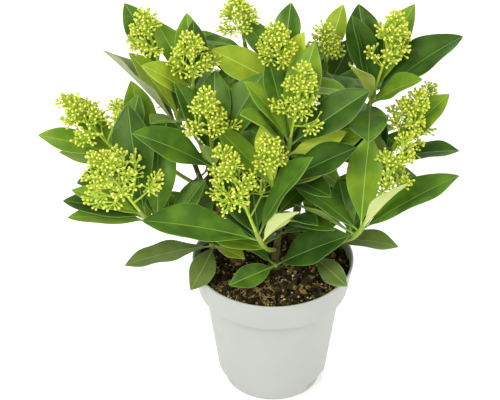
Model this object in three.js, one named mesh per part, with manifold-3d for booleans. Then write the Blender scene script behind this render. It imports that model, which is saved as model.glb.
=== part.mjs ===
import * as THREE from 'three';
import { mergeVertices } from 'three/addons/utils/BufferGeometryUtils.js';
import Module from 'manifold-3d';

// Skimmia in its nursery pot. Millimetres, +Z up, origin at the centre of the pot's flat underside.
// The front is -Y and the right is +X. Angles are in degrees: toward turns from +X to +Y,
// rise is the height above level, and tilt is the lean away from upright.

const wasm = await Module();
wasm.setup();

// ---------- Driving dimensions ----------

const clearance = 0.3;
const faceting = 0.06;
const nearAxis = 0.95;
const turn = THREE.MathUtils.DEG2RAD;
const goldenAngle = 137.5;

// Pot: 13 cm nursery pot with a deep collar, three notches in its heel and drain holes in its floor.
const potHeight = 118;
const rimRadius = 65;
const collarBottom = 92;
const collarFootRadius = 61;
const bodyTopRadius = 55;
const heelHeight = 8;
const heelRadius = 44;
const footRadius = 39;
const wall = 1.5;
const floorThickness = 2;
const potSides = 40;
const notchTurns = [87, 206, 328];
const notchWidth = 38;
const notchDepth = 4.2;
const drainHoles = 6;
const drainRadius = 3.5;
const drainRing = 26;

// Soil: fills the pot to a little below the rim.
const soilTop = 110;
const soilEdgeDrop = 1.5;

// Wood: short stems out of the soil, one bough for each leafy shoot.
const stemSides = 7;
const boughSides = 5;
const twigSides = 5;
const flareRadius = 2;
const flareHeight = 7;
const boughBaseRadius = 2.3;
const boughTipRadius = 1.8;
const shootBaseRadius = 1.8;
const shootNodeRadius = 1.6;
const axisTipRadius = 1.1;
const shootLength = 54;

// Leaves: elliptic, widest past the middle, on a short stalk, folded along the midrib, tips bent back.
const leafWidth = 0.39;
const leafFullness = 0.72;
const stalkShare = 0.1;
const stalkHalfWidth = 0.9;
const leafThickness = 0.02;
const leafRows = [0.002, 0.42, 0.75];
const leafFold = 16;
const leafBend = 16;
const frontRoll = 12;
const openRoll = 24;
const edgeRoll = 36;
const leafDrop = 4;
const leavesPerShoot = 8;
const openFront = 50;
const crownCentre = [-10, 18, 110];
const crownRadii = [196, 150, 232];
const crownDrop = 70;
const turnApart = 38;
const leafTurns = 24;
const firstTurn = 61;
const innerRise = 52;
const riseStep = 3;
const shortestLeaf = 60;
const longestLeaf = 82;
const bladeRows = [0.16, 0.42, 0.75];
const bladeGap = 0.05;
const ruledReach = 0.93;
const lowerPerShoot = 3;
const lowerTurns = 10;
const lowerDrop = 14;
const lowerStep = 5;
const lowerRise = 46;
const shortestLower = 46;
const longestLower = 68;
const lowerReach = 0.72;
const lowestRise = -8;
const lowestPlace = 145;

// Flower heads: side twigs round the axis, each with a knob of buds at its end.
const knobs = 7;
const knobRadius = 5.6;
const twigRadius = 0.75;
const twigTurns = [0, 24, -24, 48, -48];
const headProfile = [[0.16, 0.35], [0.34, 0.95], [0.6, 0.85], [1.04, 0.3]];
const axisRoot = 3;
const headFoot = 0.12;
const headTop = 0.82;
const headTip = 0.96;
const twigRiseLow = 24;
const twigRiseHigh = 70;

// Stems: foot on the soil (x, y), top (x, y, z) and radius at the foot.
const stems = {
  stem_front: { foot: [1, -4], top: [3, -9, 132], radius: 3.4 },
  stem_left: { foot: [-30, 6], top: [-42, 7, 146], radius: 3.2 },
  stem_right: { foot: [27, 8], top: [36, 4, 150], radius: 3.4 },
  stem_back_left: { foot: [-16, 34], top: [-28, 40, 168], radius: 3.4 },
  stem_back_right: { foot: [18, 36], top: [26, 44, 168], radius: 3.4 },
};

// Shoots: node (x, y, z) where the leaves sit and the flower head begins, its lean (toward, tilt),
// the length and spread of the flower head, and the stem that carries it at a share of its height.
// Each entry of leaves is one that has a place of its own: toward, rise, length, drop below the
// node and, where it isn't a plain one, its look. The golden-angle rule adds the others.
const shoots = [
  { name: '01', node: [-90, 62, 262], lean: [-150, 15], head: 56, spread: 0.36,
    carrier: ['stem_left', 0.97],
    leaves: [[133, 45, 62, 4], [147, 43, 63, 38, 'pale'], [152, 38, 92, 52, 'edge']], count: 5 },
  { name: '02', node: [-63, 36, 258], lean: [-110, 8], head: 54, spread: 0.38,
    carrier: ['stem_back_left', 0.7],
    leaves: [[138, 43, 66, 4], [99, 54, 64, 4], [77, 56, 58, 4], [-155, 44, 62, 8, 'pale open']], count: 6 },
  { name: '03', node: [-48, -8, 228], lean: [-150, 6], head: 60, spread: 0.36,
    carrier: ['stem_left', 0.85],
    leaves: [[136, 44, 68, 6], [88, 52, 68, 4], [-170, 33, 76, 14], [43, 47, 79, 7]], count: 6 },
  { name: '04', node: [-124, 12, 214], lean: [172, 42], head: 62, spread: 0.42,
    carrier: ['stem_left', 0.68],
    leaves: [[175, 15, 70, 6], [172, 11, 66, 20], [145, 32, 68, 4], [110, 55, 81, 30]], count: 7 },
  { name: '05', node: [-104, -40, 193], lean: [-165, 30], head: 66, spread: 0.52,
    carrier: ['stem_left', 0.45],
    leaves: [[174, 10, 66, 6], [180, 3, 64, 10, 'level'], [168, 16, 60, 4], [105, 53, 90, 6, 'open'],
      [89, 54, 76, 18], [40, 41, 50, 30]], count: 8 },
  { name: '06', node: [-23, 66, 282], lean: [-120, 18], head: 50, spread: 0.36,
    carrier: ['stem_back_left', 0.98],
    leaves: [[175, 10, 38, 6]], count: 7 },
  { name: '07', node: [-14, -46, 178], lean: [162, 21], head: 80, spread: 0.4,
    carrier: ['stem_front', 0.9],
    leaves: [[180, 12, 94, 8], [-34, 52, 56, 10, 'pale edge'], [2, 61, 86, 4]], count: 5 },
  { name: '08', node: [7, 36, 272], lean: [-125, 12], head: 50, spread: 0.38,
    carrier: ['stem_back_right', 0.95],
    leaves: [[14, 72, 50, 10, 'pale open'], [80, 54, 60, 4], [143, 40, 60, 6],
      [-175, 35, 66, 12, 'pale open']], count: 7 },
  { name: '09', node: [13, -2, 237], lean: [30, 11], head: 64, spread: 0.36,
    carrier: ['stem_front', 0.98],
    leaves: [[117, 51, 72, 6], [62, 51, 82, 4], [6, 22, 50, 12, 'pale open'], [5, 38, 80, 6, 'open']], count: 7 },
  { name: '10', node: [42, 76, 257], lean: [-100, 15], head: 40, spread: 0.32,
    carrier: ['stem_back_right', 0.98],
    leaves: [[63, 53, 52, 4, 'pale']], count: 6 },
  { name: '11', node: [80, 42, 251], lean: [25, 16], head: 70, spread: 0.38,
    carrier: ['stem_back_right', 0.8],
    leaves: [[16, 32, 88, 6], [-26, 40, 58, 10, 'pale open'], [-130, 60, 58, 8, 'pale'], [105, 53, 74, 3],
      [132, 62, 72, 6, 'folded'], [52, 48, 80, 3]], count: 8 },
  { name: '12', node: [94, 18, 212], lean: [15, 25], head: 55, spread: 0.38,
    carrier: ['stem_right', 0.95],
    leaves: [[28, 37, 68, 4], [-10, 15, 60, 8], [136, 44, 38, 8]], count: 7 },
  { name: '13', node: [71, -32, 175], lean: [31, 30], head: 82, spread: 0.36,
    carrier: ['stem_right', 0.6],
    leaves: [[80, 60, 75, 4], [12, 28, 90, 6, 'level'], [-14, 55, 62, 4, 'pale edge'], [156, 29, 66, 6, 'level'],
      [163, 21, 55, 10, 'edge']], count: 5 },
  { name: '14', node: [-1, -32, 218], lean: [-125, 9], head: 43, spread: 0.32,
    carrier: ['stem_front', 0.7],
    leaves: [[12, 23, 72, 6], [5, 24, 52, 10, 'pale'], [147, 40, 67, 6],
      [113, 53, 54, 9, 'pale']], count: 6 },
  { name: '15', node: [-70, 100, 185], lean: [118, 54], head: 50, spread: 0.38,
    carrier: ['stem_back_left', 0.5],
    leaves: [] },
  { name: '16', node: [-12, 104, 188], lean: [95, 54], head: 50, spread: 0.38,
    carrier: ['stem_back_left', 0.6],
    leaves: [] },
  { name: '17', node: [48, 102, 186], lean: [66, 56], head: 50, spread: 0.38,
    carrier: ['stem_back_right', 0.5],
    leaves: [] },
  { name: '18', node: [104, 74, 186], lean: [48, 56], head: 50, spread: 0.38,
    carrier: ['stem_back_right', 0.6],
    leaves: [], count: 6 },
  { name: '19', node: [-100, 84, 166], lean: [138, 58], head: 50, spread: 0.38,
    carrier: ['stem_back_left', 0.4],
    leaves: [] },
];

// Tufts: short leafy shoots low on a stem, with no flower head.
const tufts = [
  { name: '20', node: [-50, 5, 127], lean: [180, 60],
    carrier: ['stem_left', 0.3], count: 3,
    leaves: [[-109, -4, 56, 2, 'open'], [-170, -8, 74, 2, 'level'], [-46, 10, 36, 2, 'pale']] },
  { name: '21', node: [2, -15, 121], lean: [-95, 50],
    carrier: ['stem_front', 0.25], count: 3,
    leaves: [[-24, 38, 80, 2, 'open'], [-141, 4, 48, 2, 'open'], [163, 22, 53, 2, 'level']] },
  { name: '22', node: [34, -4, 123], lean: [-60, 50],
    carrier: ['stem_right', 0.15], count: 1,
    leaves: [[-60, -4, 52, 2, 'open']] },
  { name: '23', node: [44, 8, 132], lean: [10, 50],
    carrier: ['stem_right', 0.4], count: 4,
    leaves: [[-10, 0, 60, 2]] },
];

// Openings where the sky shows through the crown: a point on the line of sight and a radius.
const sight = direction(90, -36);
const openings = [
  { at: [-81, 0, 197], radius: 7 },
  { at: [-67, 0, 210], radius: 7.5 },
  { at: [-73, 0, 234], radius: 3.5 },
  { at: [93, 0, 267], radius: 5 },
  { at: [57, 0, 201], radius: 3.5 },
  { at: [-91, 0, 267], radius: 3 },
];

// ---------- Solids ----------

function toSolid(geometry) {
  const bare = geometry.index ? geometry.clone() : geometry;
  bare.deleteAttribute('normal');
  bare.deleteAttribute('uv');
  const merged = mergeVertices(bare, 1e-4);
  return new wasm.Manifold(new wasm.Mesh({
    numProp: 3,
    vertProperties: Float32Array.from(merged.attributes.position.array),
    triVerts: Uint32Array.from(merged.index.array),
  }));
}

function toGeometry(solid) {
  const mesh = solid.getMesh();
  const geometry = new THREE.BufferGeometry();
  geometry.setAttribute('position', new THREE.BufferAttribute(mesh.vertProperties, 3));
  geometry.setIndex(new THREE.BufferAttribute(mesh.triVerts, 1));
  geometry.computeVertexNormals();
  return geometry;
}

function fuse(solids) {
  return solids.reduce((whole, solid) => whole.add(solid));
}

function overlaps(one, other) {
  const boxes = [one.boundingBox(), other.boundingBox()];
  for (let axis = 0; axis < 3; axis += 1) {
    if (boxes[0].min[axis] > boxes[1].max[axis]) return false;
    if (boxes[1].min[axis] > boxes[0].max[axis]) return false;
  }
  return !one.intersect(other).isEmpty();
}

// The largest separate piece of a solid, without scraps or sealed hollows.
function largestPiece(solid) {
  const pieces = solid.decompose();
  return pieces.reduce((best, piece) => (piece.volume() > best.volume() ? piece : best));
}

// A closed skin over rings of points that run counterclockwise about the way from first to last.
// A ring of one point closes the skin to a tip; the other ends are flat.
function skin(rings) {
  const faces = [];
  const starts = [];
  let count = 0;
  for (const ring of rings) {
    starts.push(count);
    count += ring.length;
  }
  for (let row = 0; row + 1 < rings.length; row += 1) {
    const sides = Math.max(rings[row].length, rings[row + 1].length);
    for (let i = 0; i < sides; i += 1) {
      const next = (i + 1) % sides;
      const low = starts[row];
      const high = starts[row + 1];
      if (rings[row + 1].length === 1) {
        faces.push(low + i, low + next, high);
      } else if (rings[row].length === 1) {
        faces.push(low, high + next, high + i);
      } else {
        faces.push(low + i, low + next, high + next);
        faces.push(low + i, high + next, high + i);
      }
    }
  }
  const last = rings.length - 1;
  for (let i = 1; i + 1 < rings[0].length; i += 1) faces.push(0, i + 1, i);
  for (let i = 1; i + 1 < rings[last].length; i += 1) {
    faces.push(starts[last], starts[last] + i, starts[last] + i + 1);
  }
  const geometry = new THREE.BufferGeometry().setFromPoints(rings.flat());
  geometry.setIndex(faces);
  return toSolid(geometry);
}

function ringAround(centre, way, radius, sides) {
  const reference = Math.abs(way.x) > nearAxis ? new THREE.Vector3(0, 1, 0) : new THREE.Vector3(1, 0, 0);
  const across = reference.addScaledVector(way, -reference.dot(way)).normalize();
  const along = way.clone().cross(across);
  const ring = [];
  for (let i = 0; i < sides; i += 1) {
    const angle = (i / sides) * 2 * Math.PI;
    ring.push(centre.clone()
      .addScaledVector(across, radius * Math.cos(angle))
      .addScaledVector(along, radius * Math.sin(angle)));
  }
  return ring;
}

function direction(toward, rise) {
  return new THREE.Vector3(
    Math.cos(toward * turn) * Math.cos(rise * turn),
    Math.sin(toward * turn) * Math.cos(rise * turn),
    Math.sin(rise * turn),
  );
}

// ---------- Dice ----------

// A dice of its own for each leaf or twig, so that one more leaf changes no other.
class Dice {
  constructor(seed) {
    this.state = ((seed * 7919) % 2147483646) + 1;
    for (let i = 0; i < 3; i += 1) this.roll();
  }

  roll() {
    this.state = (this.state * 16807) % 2147483647;
    return this.state / 2147483647;
  }

  between(low, high) {
    return low + (high - low) * this.roll();
  }
}

// ---------- Pot and soil ----------

function turned(profile) {
  const points = profile.map(([radius, height]) => new THREE.Vector2(radius, height));
  return toSolid(new THREE.LatheGeometry(points, potSides).rotateX(Math.PI / 2));
}

function notchCutter(toward) {
  const half = (notchWidth / 2) * turn;
  const inner = heelRadius - notchDepth - wall;
  const shape = new THREE.Shape();
  shape.absarc(0, 0, inner, -half, half, false);
  shape.absarc(0, 0, heelRadius + 2, half, -half, true);
  const depth = heelHeight + 1;
  const cutter = new THREE.ExtrudeGeometry(shape, { depth, bevelEnabled: false, curveSegments: 8 });
  return toSolid(cutter.translate(0, 0, -1).rotateZ(toward * turn));
}

function drainCutter(index) {
  const angle = (index / drainHoles) * 2 * Math.PI;
  const drill = new THREE.CylinderGeometry(drainRadius, drainRadius, floorThickness * 3, 12);
  drill.rotateX(Math.PI / 2);
  return toSolid(drill.translate(drainRing * Math.cos(angle), drainRing * Math.sin(angle), 0));
}

function makePot() {
  const inside = [
    [rimRadius - wall, potHeight],
    [collarFootRadius - wall, collarBottom + 0.5],
    [bodyTopRadius - wall, collarBottom - 2],
    [heelRadius - wall, heelHeight + wall],
    [footRadius - wall, heelHeight + wall],
    [footRadius - 2 * wall, floorThickness],
    [0, floorThickness],
  ];
  const outside = [
    [0, 0],
    [footRadius, 0],
    [heelRadius, heelHeight],
    [bodyTopRadius, collarBottom - 2.6],
    [collarFootRadius, collarBottom],
    [rimRadius, potHeight],
  ];
  let pot = turned([...outside, ...inside]);
  for (const toward of notchTurns) pot = pot.subtract(notchCutter(toward));
  for (let i = 0; i < drainHoles; i += 1) pot = pot.subtract(drainCutter(i));
  return pot;
}

function makeSoil() {
  const side = 0.05 + clearance;
  const collarSlope = (rimRadius - collarFootRadius) / (potHeight - collarBottom);
  const rise = soilTop - soilEdgeDrop - collarBottom;
  const topRadius = collarFootRadius - wall + collarSlope * rise - 2 * side;
  return turned([
    [0, floorThickness + clearance],
    [footRadius - 2 * wall - side, floorThickness + clearance],
    [footRadius - wall - side, heelHeight + wall + clearance],
    [heelRadius - wall - side, heelHeight + wall + clearance],
    [bodyTopRadius - wall - side, collarBottom - 1.6],
    [collarFootRadius - wall - side - 0.2, collarBottom + 1],
    [topRadius, soilTop - soilEdgeDrop],
    [topRadius - 8, soilTop],
    [0, soilTop],
  ]);
}

// ---------- Wood ----------

function stemCurve(stem) {
  const foot = new THREE.Vector3(...stem.foot, soilTop + clearance);
  const top = new THREE.Vector3(...stem.top);
  const bend = new THREE.Vector3(...stem.foot, (foot.z + top.z) / 2);
  return new THREE.QuadraticBezierCurve3(foot, bend, top);
}

function stemSolid(stem, grow = 0) {
  const curve = stemCurve(stem);
  const height = stem.top[2] - soilTop;
  const rings = [0, 0.1, 0.3, 0.65, 1].map((share) => {
    const flare = flareRadius * Math.exp((-share * height) / flareHeight);
    const radius = stem.radius * (1 - 0.28 * share) + flare + grow;
    const centre = curve.getPoint(share);
    if (share === 1) centre.addScaledVector(curve.getTangent(1), grow);
    return ringAround(centre, curve.getTangent(share), radius, stemSides);
  });
  return skin(rings);
}

// The whole way of a shoot, from its stem's axis to the node below the flower head.
function shootCurve(shoot) {
  const [carrier, share] = shoot.carrier;
  const start = stemCurve(stems[carrier]).getPoint(share);
  const node = new THREE.Vector3(...shoot.node);
  const lean = direction(shoot.lean[0], 90 - shoot.lean[1]);
  const reach = start.distanceTo(node);
  const leave = node.clone().sub(start).normalize();
  leave.add(stemCurve(stems[carrier]).getTangent(share)).normalize();
  return new THREE.CubicBezierCurve3(
    start,
    start.clone().addScaledVector(leave, reach * 0.25),
    node.clone().addScaledVector(lean, -reach * 0.45),
    node,
  );
}

function shootReach(shoot) {
  const curve = shootCurve(shoot);
  return curve.v0.distanceTo(curve.v3);
}

// Where the bough ends and the shoot's own stem begins, as a share of the way.
function boughEnd(shoot) {
  return Math.max(0.3, 1 - shootLength / shootReach(shoot));
}

function limb(curve, from, to, radiusAt, sides, steps, ahead = 0) {
  const rings = [];
  for (let i = 0; i <= steps; i += 1) {
    const share = from + ((to - from) * i) / steps;
    const way = curve.getTangent(share);
    const centre = curve.getPoint(share);
    if (i === 0) centre.addScaledVector(way, ahead);
    rings.push(ringAround(centre, way, radiusAt(i / steps), sides));
  }
  return skin(rings);
}

function boughSolid(shoot, grow = 0) {
  const radiusAt = (share) => THREE.MathUtils.lerp(boughBaseRadius, boughTipRadius, share) + grow;
  return limb(shootCurve(shoot), 0, boughEnd(shoot), radiusAt, boughSides, 3);
}

function shootStem(shoot, grow = 0) {
  const isTuft = !shoot.head;
  const radiusAt = (share) => THREE.MathUtils.lerp(shootBaseRadius, shootNodeRadius, share) + grow;
  const from = isTuft ? 0 : boughEnd(shoot);
  return limb(shootCurve(shoot), from, 1, radiusAt, twigSides, 3, isTuft ? 0 : clearance - grow);
}

// ---------- Flower heads ----------

// One side twig of a flower head, swung round the axis by turnBy.
function headTwig(shoot, index, turnBy) {
  const lean = direction(shoot.lean[0], 90 - shoot.lean[1]);
  const dice = new Dice(Number(shoot.name) * 1000 + 500 + index);
  const share = (index + 0.5) / knobs;
  const along = headFoot + (headTop - headFoot) * share;
  const around = index * goldenAngle + dice.between(-14, 14) + turnBy;
  const rise = twigRiseLow + (twigRiseHigh - twigRiseLow) * share + dice.between(-6, 6);
  const length = shoot.head * shoot.spread * (1.02 - 0.7 * share) * dice.between(0.85, 1.1);
  const root = new THREE.Vector3(...shoot.node).addScaledVector(lean, shoot.head * along);
  return { root, way: between(awayFrom(lean, around), lean, rise), length };
}

// The level direction at an angle round an axis, made square to that axis.
function awayFrom(axis, around) {
  const level = direction(around, 0);
  return level.addScaledVector(axis, -level.dot(axis)).normalize();
}

// A side twig that swells into a knob of buds.
function clubSolid(twig, grow = 0) {
  const along = (reach) => twig.root.clone().addScaledVector(twig.way, reach);
  return skin([
    ringAround(twig.root, twig.way, twigRadius + grow, 3),
    ringAround(along(twig.length), twig.way, knobRadius + 2 * grow, 3),
    [along(twig.length + knobRadius + 2 * grow)],
  ]);
}

// The direction that rises from one direction towards another, square to it.
function between(outward, axis, rise) {
  return outward.clone().multiplyScalar(Math.cos(rise * turn)).addScaledVector(axis, Math.sin(rise * turn));
}

function headAxis(shoot, grow = 0) {
  const lean = direction(shoot.lean[0], 90 - shoot.lean[1]);
  const at = (along, radius) => ringAround(
    new THREE.Vector3(...shoot.node).addScaledVector(lean, along),
    lean,
    radius + grow,
    4,
  );
  const tip = shoot.head * headTip;
  const point = new THREE.Vector3(...shoot.node).addScaledVector(lean, tip + knobRadius + grow);
  return skin([
    at(-axisRoot, shootNodeRadius * 0.95),
    at(tip - knobRadius, axisTipRadius),
    at(tip, knobRadius),
    [point],
  ]);
}

// The space of a flower head, which leaves keep out of.
function headSpace(shoot) {
  const lean = direction(shoot.lean[0], 90 - shoot.lean[1]);
  const node = new THREE.Vector3(...shoot.node);
  const radius = shoot.head * shoot.spread;
  return skin(headProfile.map(([along, size]) => {
    const centre = node.clone().addScaledVector(lean, shoot.head * along);
    return ringAround(centre, lean, radius * size, 8);
  }));
}

// ---------- Leaves ----------

// Half the width of a leaf at a share of its length.
function leafHalfWidth(leaf, share) {
  if (share <= stalkShare) return stalkHalfWidth;
  const along = (share - stalkShare) / (1 - stalkShare);
  return Math.max(stalkHalfWidth, (leaf.width / 2) * Math.sin(Math.PI * along ** 1.2) ** leafFullness);
}

// The leaf's midrib bends as an arc whose chord has the leaf's direction and length.
function leafSolid(leaf, grow = 0, rows = leafRows) {
  const chord = direction(leaf.toward, leaf.rise);
  const side = direction(leaf.toward - 90, 0).applyAxisAngle(chord, leaf.roll * turn);
  const up = side.clone().cross(chord);
  const bend = leaf.bend * turn;
  const ahead = between(chord, up, leaf.bend / 2);
  const above = between(up, chord, -leaf.bend / 2);
  const arc = (leaf.length * bend) / 2 / Math.sin(bend / 2);
  const middle = (share) => leaf.base.clone()
    .addScaledVector(ahead, (arc * Math.sin(bend * share)) / bend)
    .addScaledVector(above, (-arc * (1 - Math.cos(bend * share))) / bend);
  const fold = leaf.fold * turn;
  const thickness = leaf.length * leafThickness;
  const rings = rows.map((share) => {
    const centre = middle(share);
    const normal = between(above, ahead, leaf.bend * share);
    const half = leafHalfWidth(leaf, share) + 2 * grow;
    const out = half * Math.cos(fold);
    const lift = half * Math.sin(fold);
    const at = (across, high) => centre.clone().addScaledVector(side, across).addScaledVector(normal, high);
    return [
      at(0, 0.4 * thickness + grow),
      at(out, lift),
      at(0, -0.6 * thickness - grow),
      at(-out, lift),
    ];
  });
  rings.push([middle(1 + (3 * grow) / leaf.length)]);
  return skin(rings);
}

// Shape that a leaf's own dice gives it, and what its look changes. Faces turn a little to the front.
function leafForm(dice, toward, look = '') {
  const facing = Math.cos(toward * turn);
  const form = {
    widthShare: leafWidth * dice.between(0.9, 1.1),
    bend: leafBend * dice.between(0.5, 1.5),
    fold: leafFold * dice.between(0.6, 1.4),
    roll: dice.between(-14, 14) + frontRoll * facing,
  };
  if (look.includes('folded')) form.fold = 40;
  if (look.includes('open')) form.roll += openRoll * Math.sign(facing);
  if (look.includes('level')) form.roll = 0;
  if (look.includes('edge')) form.roll = -edgeRoll * Math.sign(facing);
  return form;
}

function placedLeaves(shoot) {
  return shoot.leaves.map(([toward, rise, length, drop, look], index) => {
    const dice = new Dice(Number(shoot.name) * 1000 + index);
    return { toward, rise, length, drop, ...leafForm(dice, toward, look) };
  });
}

// The crown is a dome over the pot that reaches a little below the rim.
function insideCrown(point, share = 1) {
  const [x, y, z] = [0, 1, 2].map((axis) => point.getComponent(axis) - crownCentre[axis]);
  const up = z > 0 ? z / crownRadii[2] : z / crownDrop;
  return (x / crownRadii[0]) ** 2 + (y / crownRadii[1]) ** 2 + up ** 2 < share ** 2;
}

// True for a leaf that hangs in one of the openings.
function isInOpening(leaf) {
  const way = direction(leaf.toward, leaf.rise);
  return openings.some(({ at, radius }) => [0.25, 0.45, 0.65, 0.85, 1].some((share) => {
    const off = leaf.base.clone().addScaledVector(way, leaf.length * share).sub(new THREE.Vector3(...at));
    return off.addScaledVector(sight, -off.dot(sight)).length() < radius + leafHalfWidth(leaf, share);
  }));
}

function turnBetween(one, other) {
  return Math.abs(((one - other + 540) % 360) - 180);
}

// Leaves by the golden angle, in the gaps between those that have a place of their own.
function ruledLeaves(shoot) {
  const lean = direction(shoot.lean[0], 90 - shoot.lean[1]);
  const wanted = (shoot.count ?? leavesPerShoot) - shoot.leaves.length;
  const leaves = [];
  for (let i = 0; i < leafTurns && leaves.length < wanted; i += 1) {
    const dice = new Dice(Number(shoot.name) * 1000 + 100 + i);
    const around = Number(shoot.name) * firstTurn + i * goldenAngle + dice.between(-12, 12);
    const steep = innerRise - riseStep * i + dice.between(-7, 7);
    const length = dice.between(shortestLeaf, longestLeaf);
    const way = between(awayFrom(lean, around), lean, steep);
    const toward = Math.atan2(way.y, way.x) / turn;
    const rise = Math.asin(way.z) / turn;
    const facesFront = Math.abs(toward + 90) < openFront && rise > 12;
    if (rise < lowestRise) continue;
    const tip = new THREE.Vector3(...shoot.node).addScaledVector(way, length);
    if (facesFront || !insideCrown(tip)) continue;
    if (shoot.leaves.some((leaf) => turnBetween(leaf[0], toward) < turnApart)) continue;
    const drop = leafDrop * (1 + leaves.length);
    leaves.push({ toward, rise, length, drop, within: ruledReach, ...leafForm(dice, toward) });
  }
  return leaves;
}

// Shorter leaves that may sit lower down a shoot, in the inner part of the crown.
function lowerLeaves(shoot) {
  const lean = direction(shoot.lean[0], 90 - shoot.lean[1]);
  const leaves = [];
  for (let i = 0; i < lowerTurns; i += 1) {
    const dice = new Dice(Number(shoot.name) * 1000 + 200 + i);
    const around = Number(shoot.name) * firstTurn + (i + 0.5) * goldenAngle + dice.between(-12, 12);
    const way = between(awayFrom(lean, around), lean, lowerRise - riseStep * i + dice.between(-8, 8));
    const toward = Math.atan2(way.y, way.x) / turn;
    const rise = Math.asin(way.z) / turn;
    const length = dice.between(shortestLower, longestLower);
    const drop = lowerDrop + lowerStep * i;
    const leaf = { toward, rise, length, drop, within: lowerReach, ...leafForm(dice, toward) };
    const isHigh = swung(shoot, leaf, swings[0]).base.z > lowestPlace;
    if (isHigh && rise > lowestRise && drop < shootReach(shoot) * 0.85) leaves.push(leaf);
  }
  return leaves;
}

// Swings tried in turn where a leaf would touch another limb, leaf or flower head: turn, rise, length.
const swings = [
  [0, 0, 1], [8, 0, 1], [-8, 0, 1], [0, 8, 1], [0, -8, 1],
  [14, 8, 1], [-14, 8, 1], [14, -8, 1], [-14, -8, 1],
  [0, 0, 0.85], [22, 0, 0.9], [-22, 0, 0.9], [0, 16, 0.9], [0, -16, 0.9], [30, 12, 0.8], [-30, 12, 0.8],
];

function swung(shoot, leaf, [turnBy, riseBy, scale]) {
  const curve = shootCurve(shoot);
  const length = leaf.length * scale;
  return {
    ...leaf,
    length,
    width: length * leaf.widthShare,
    toward: leaf.toward + turnBy,
    rise: leaf.rise + riseBy,
    base: curve.getPoint(Math.max(0.02, 1 - leaf.drop / shootReach(shoot))),
  };
}

// ---------- Growing ----------

const potSolid = makePot();
const soilSolid = makeSoil();
const growers = [...shoots, ...tufts];
const wood = new Map();
const masses = new Map();
const limbs = [];
const placed = [
  { owner: 'pot', kind: 'pot', solid: potSolid },
  { owner: 'soil', kind: 'pot', solid: soilSolid },
];

function touches(solid, isTested) {
  return placed.some((other) => isTested(other) && overlaps(solid, other.solid));
}

function place(owner, kind, solid) {
  placed.push({ owner, kind, solid });
  return solid;
}

// A limb is cut clear of the limbs that other nodes have there already.
function growLimb(owner, shapeWith) {
  let solid = shapeWith(0);
  for (const limb of limbs) {
    if (limb.owner !== owner && overlaps(solid, limb.wide)) solid = solid.subtract(limb.wide);
  }
  limbs.push({ owner, wide: shapeWith(clearance + faceting) });
  return place(owner, 'limb', largestPiece(solid));
}

// A leaf takes the first swing that keeps its blade off its own shoot and all of it off the others.
// A ruled leaf also keeps within its share of the crown and out of the openings.
function growLeaf(shoot, leaf) {
  for (const swing of swings) {
    const tried = swung(shoot, leaf, swing);
    const tip = tried.base.clone().addScaledVector(direction(tried.toward, tried.rise), tried.length);
    if (leaf.within && (!insideCrown(tip, leaf.within) || isInOpening(tried))) continue;
    const blade = leafSolid(tried, bladeGap, bladeRows);
    const wide = leafSolid(tried, clearance);
    const isFree = !touches(blade, (other) => other.owner === shoot.name && other.kind !== 'space')
      && !touches(wide, (other) => other.owner !== shoot.name);
    if (isFree) {
      masses.get(shoot.name).push(place(shoot.name, 'leaf', leafSolid(tried)));
      return true;
    }
  }
  return false;
}

// A side twig of a flower head turns round its axis until it is clear of leaves and other shoots.
function growHeadTwig(shoot, index) {
  for (const turnBy of twigTurns) {
    const twig = headTwig(shoot, index, turnBy);
    const wide = clubSolid(twig, clearance);
    if (!touches(wide, (other) => other.owner !== shoot.name || other.kind === 'leaf')) {
      masses.get(shoot.name).push(place(shoot.name, 'club', clubSolid(twig)));
      return;
    }
  }
}

for (const [name, stem] of Object.entries(stems)) {
  wood.set(name, growLimb(name, (grow) => stemSolid(stem, grow)));
}
for (const shoot of shoots) {
  const name = `bough_${shoot.name}`;
  wood.set(name, growLimb(name, (grow) => boughSolid(shoot, grow)));
}
for (const shoot of growers) {
  masses.set(shoot.name, [growLimb(shoot.name, (grow) => shootStem(shoot, grow))]);
  if (shoot.head) masses.get(shoot.name).push(growLimb(shoot.name, (grow) => headAxis(shoot, grow)));
}
for (const shoot of growers) placedLeaves(shoot).forEach((leaf) => growLeaf(shoot, leaf));
for (const shoot of shoots) {
  for (let i = 0; i < knobs; i += 1) growHeadTwig(shoot, i);
}
for (const shoot of shoots) place(shoot.name, 'space', headSpace(shoot));
for (const shoot of growers) ruledLeaves(shoot).forEach((leaf) => growLeaf(shoot, leaf));
for (const shoot of shoots) {
  let grown = 0;
  for (const leaf of lowerLeaves(shoot)) {
    if (grown < lowerPerShoot && growLeaf(shoot, leaf)) grown += 1;
  }
}

// ---------- The plant as a group of meshes ----------

const looks = {
  pot: { color: 0xd2d5cc, roughness: 0.45 },
  soil: { color: 0x2e2218, roughness: 1 },
  wood: { color: 0x6b5138, roughness: 0.85 },
  foliage: { color: 0x3d7a28, roughness: 0.5 },
};
const plant = new THREE.Group();

function addMesh(name, solid, look) {
  const mesh = new THREE.Mesh(toGeometry(solid), new THREE.MeshStandardMaterial({ ...look, metalness: 0 }));
  mesh.name = name;
  plant.add(mesh);
}

addMesh('pot', potSolid, looks.pot);
addMesh('soil', soilSolid, looks.soil);
for (const [name, solid] of wood) addMesh(name, solid, looks.wood);
for (const [name, solids] of masses) addMesh(`foliage_${name}`, largestPiece(fuse(solids)), looks.foliage);

export default plant;
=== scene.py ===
import math
from itertools import product

import bmesh
import bpy
from mathutils import Matrix, Vector, noise
from mathutils.bvhtree import BVHTree


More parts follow.
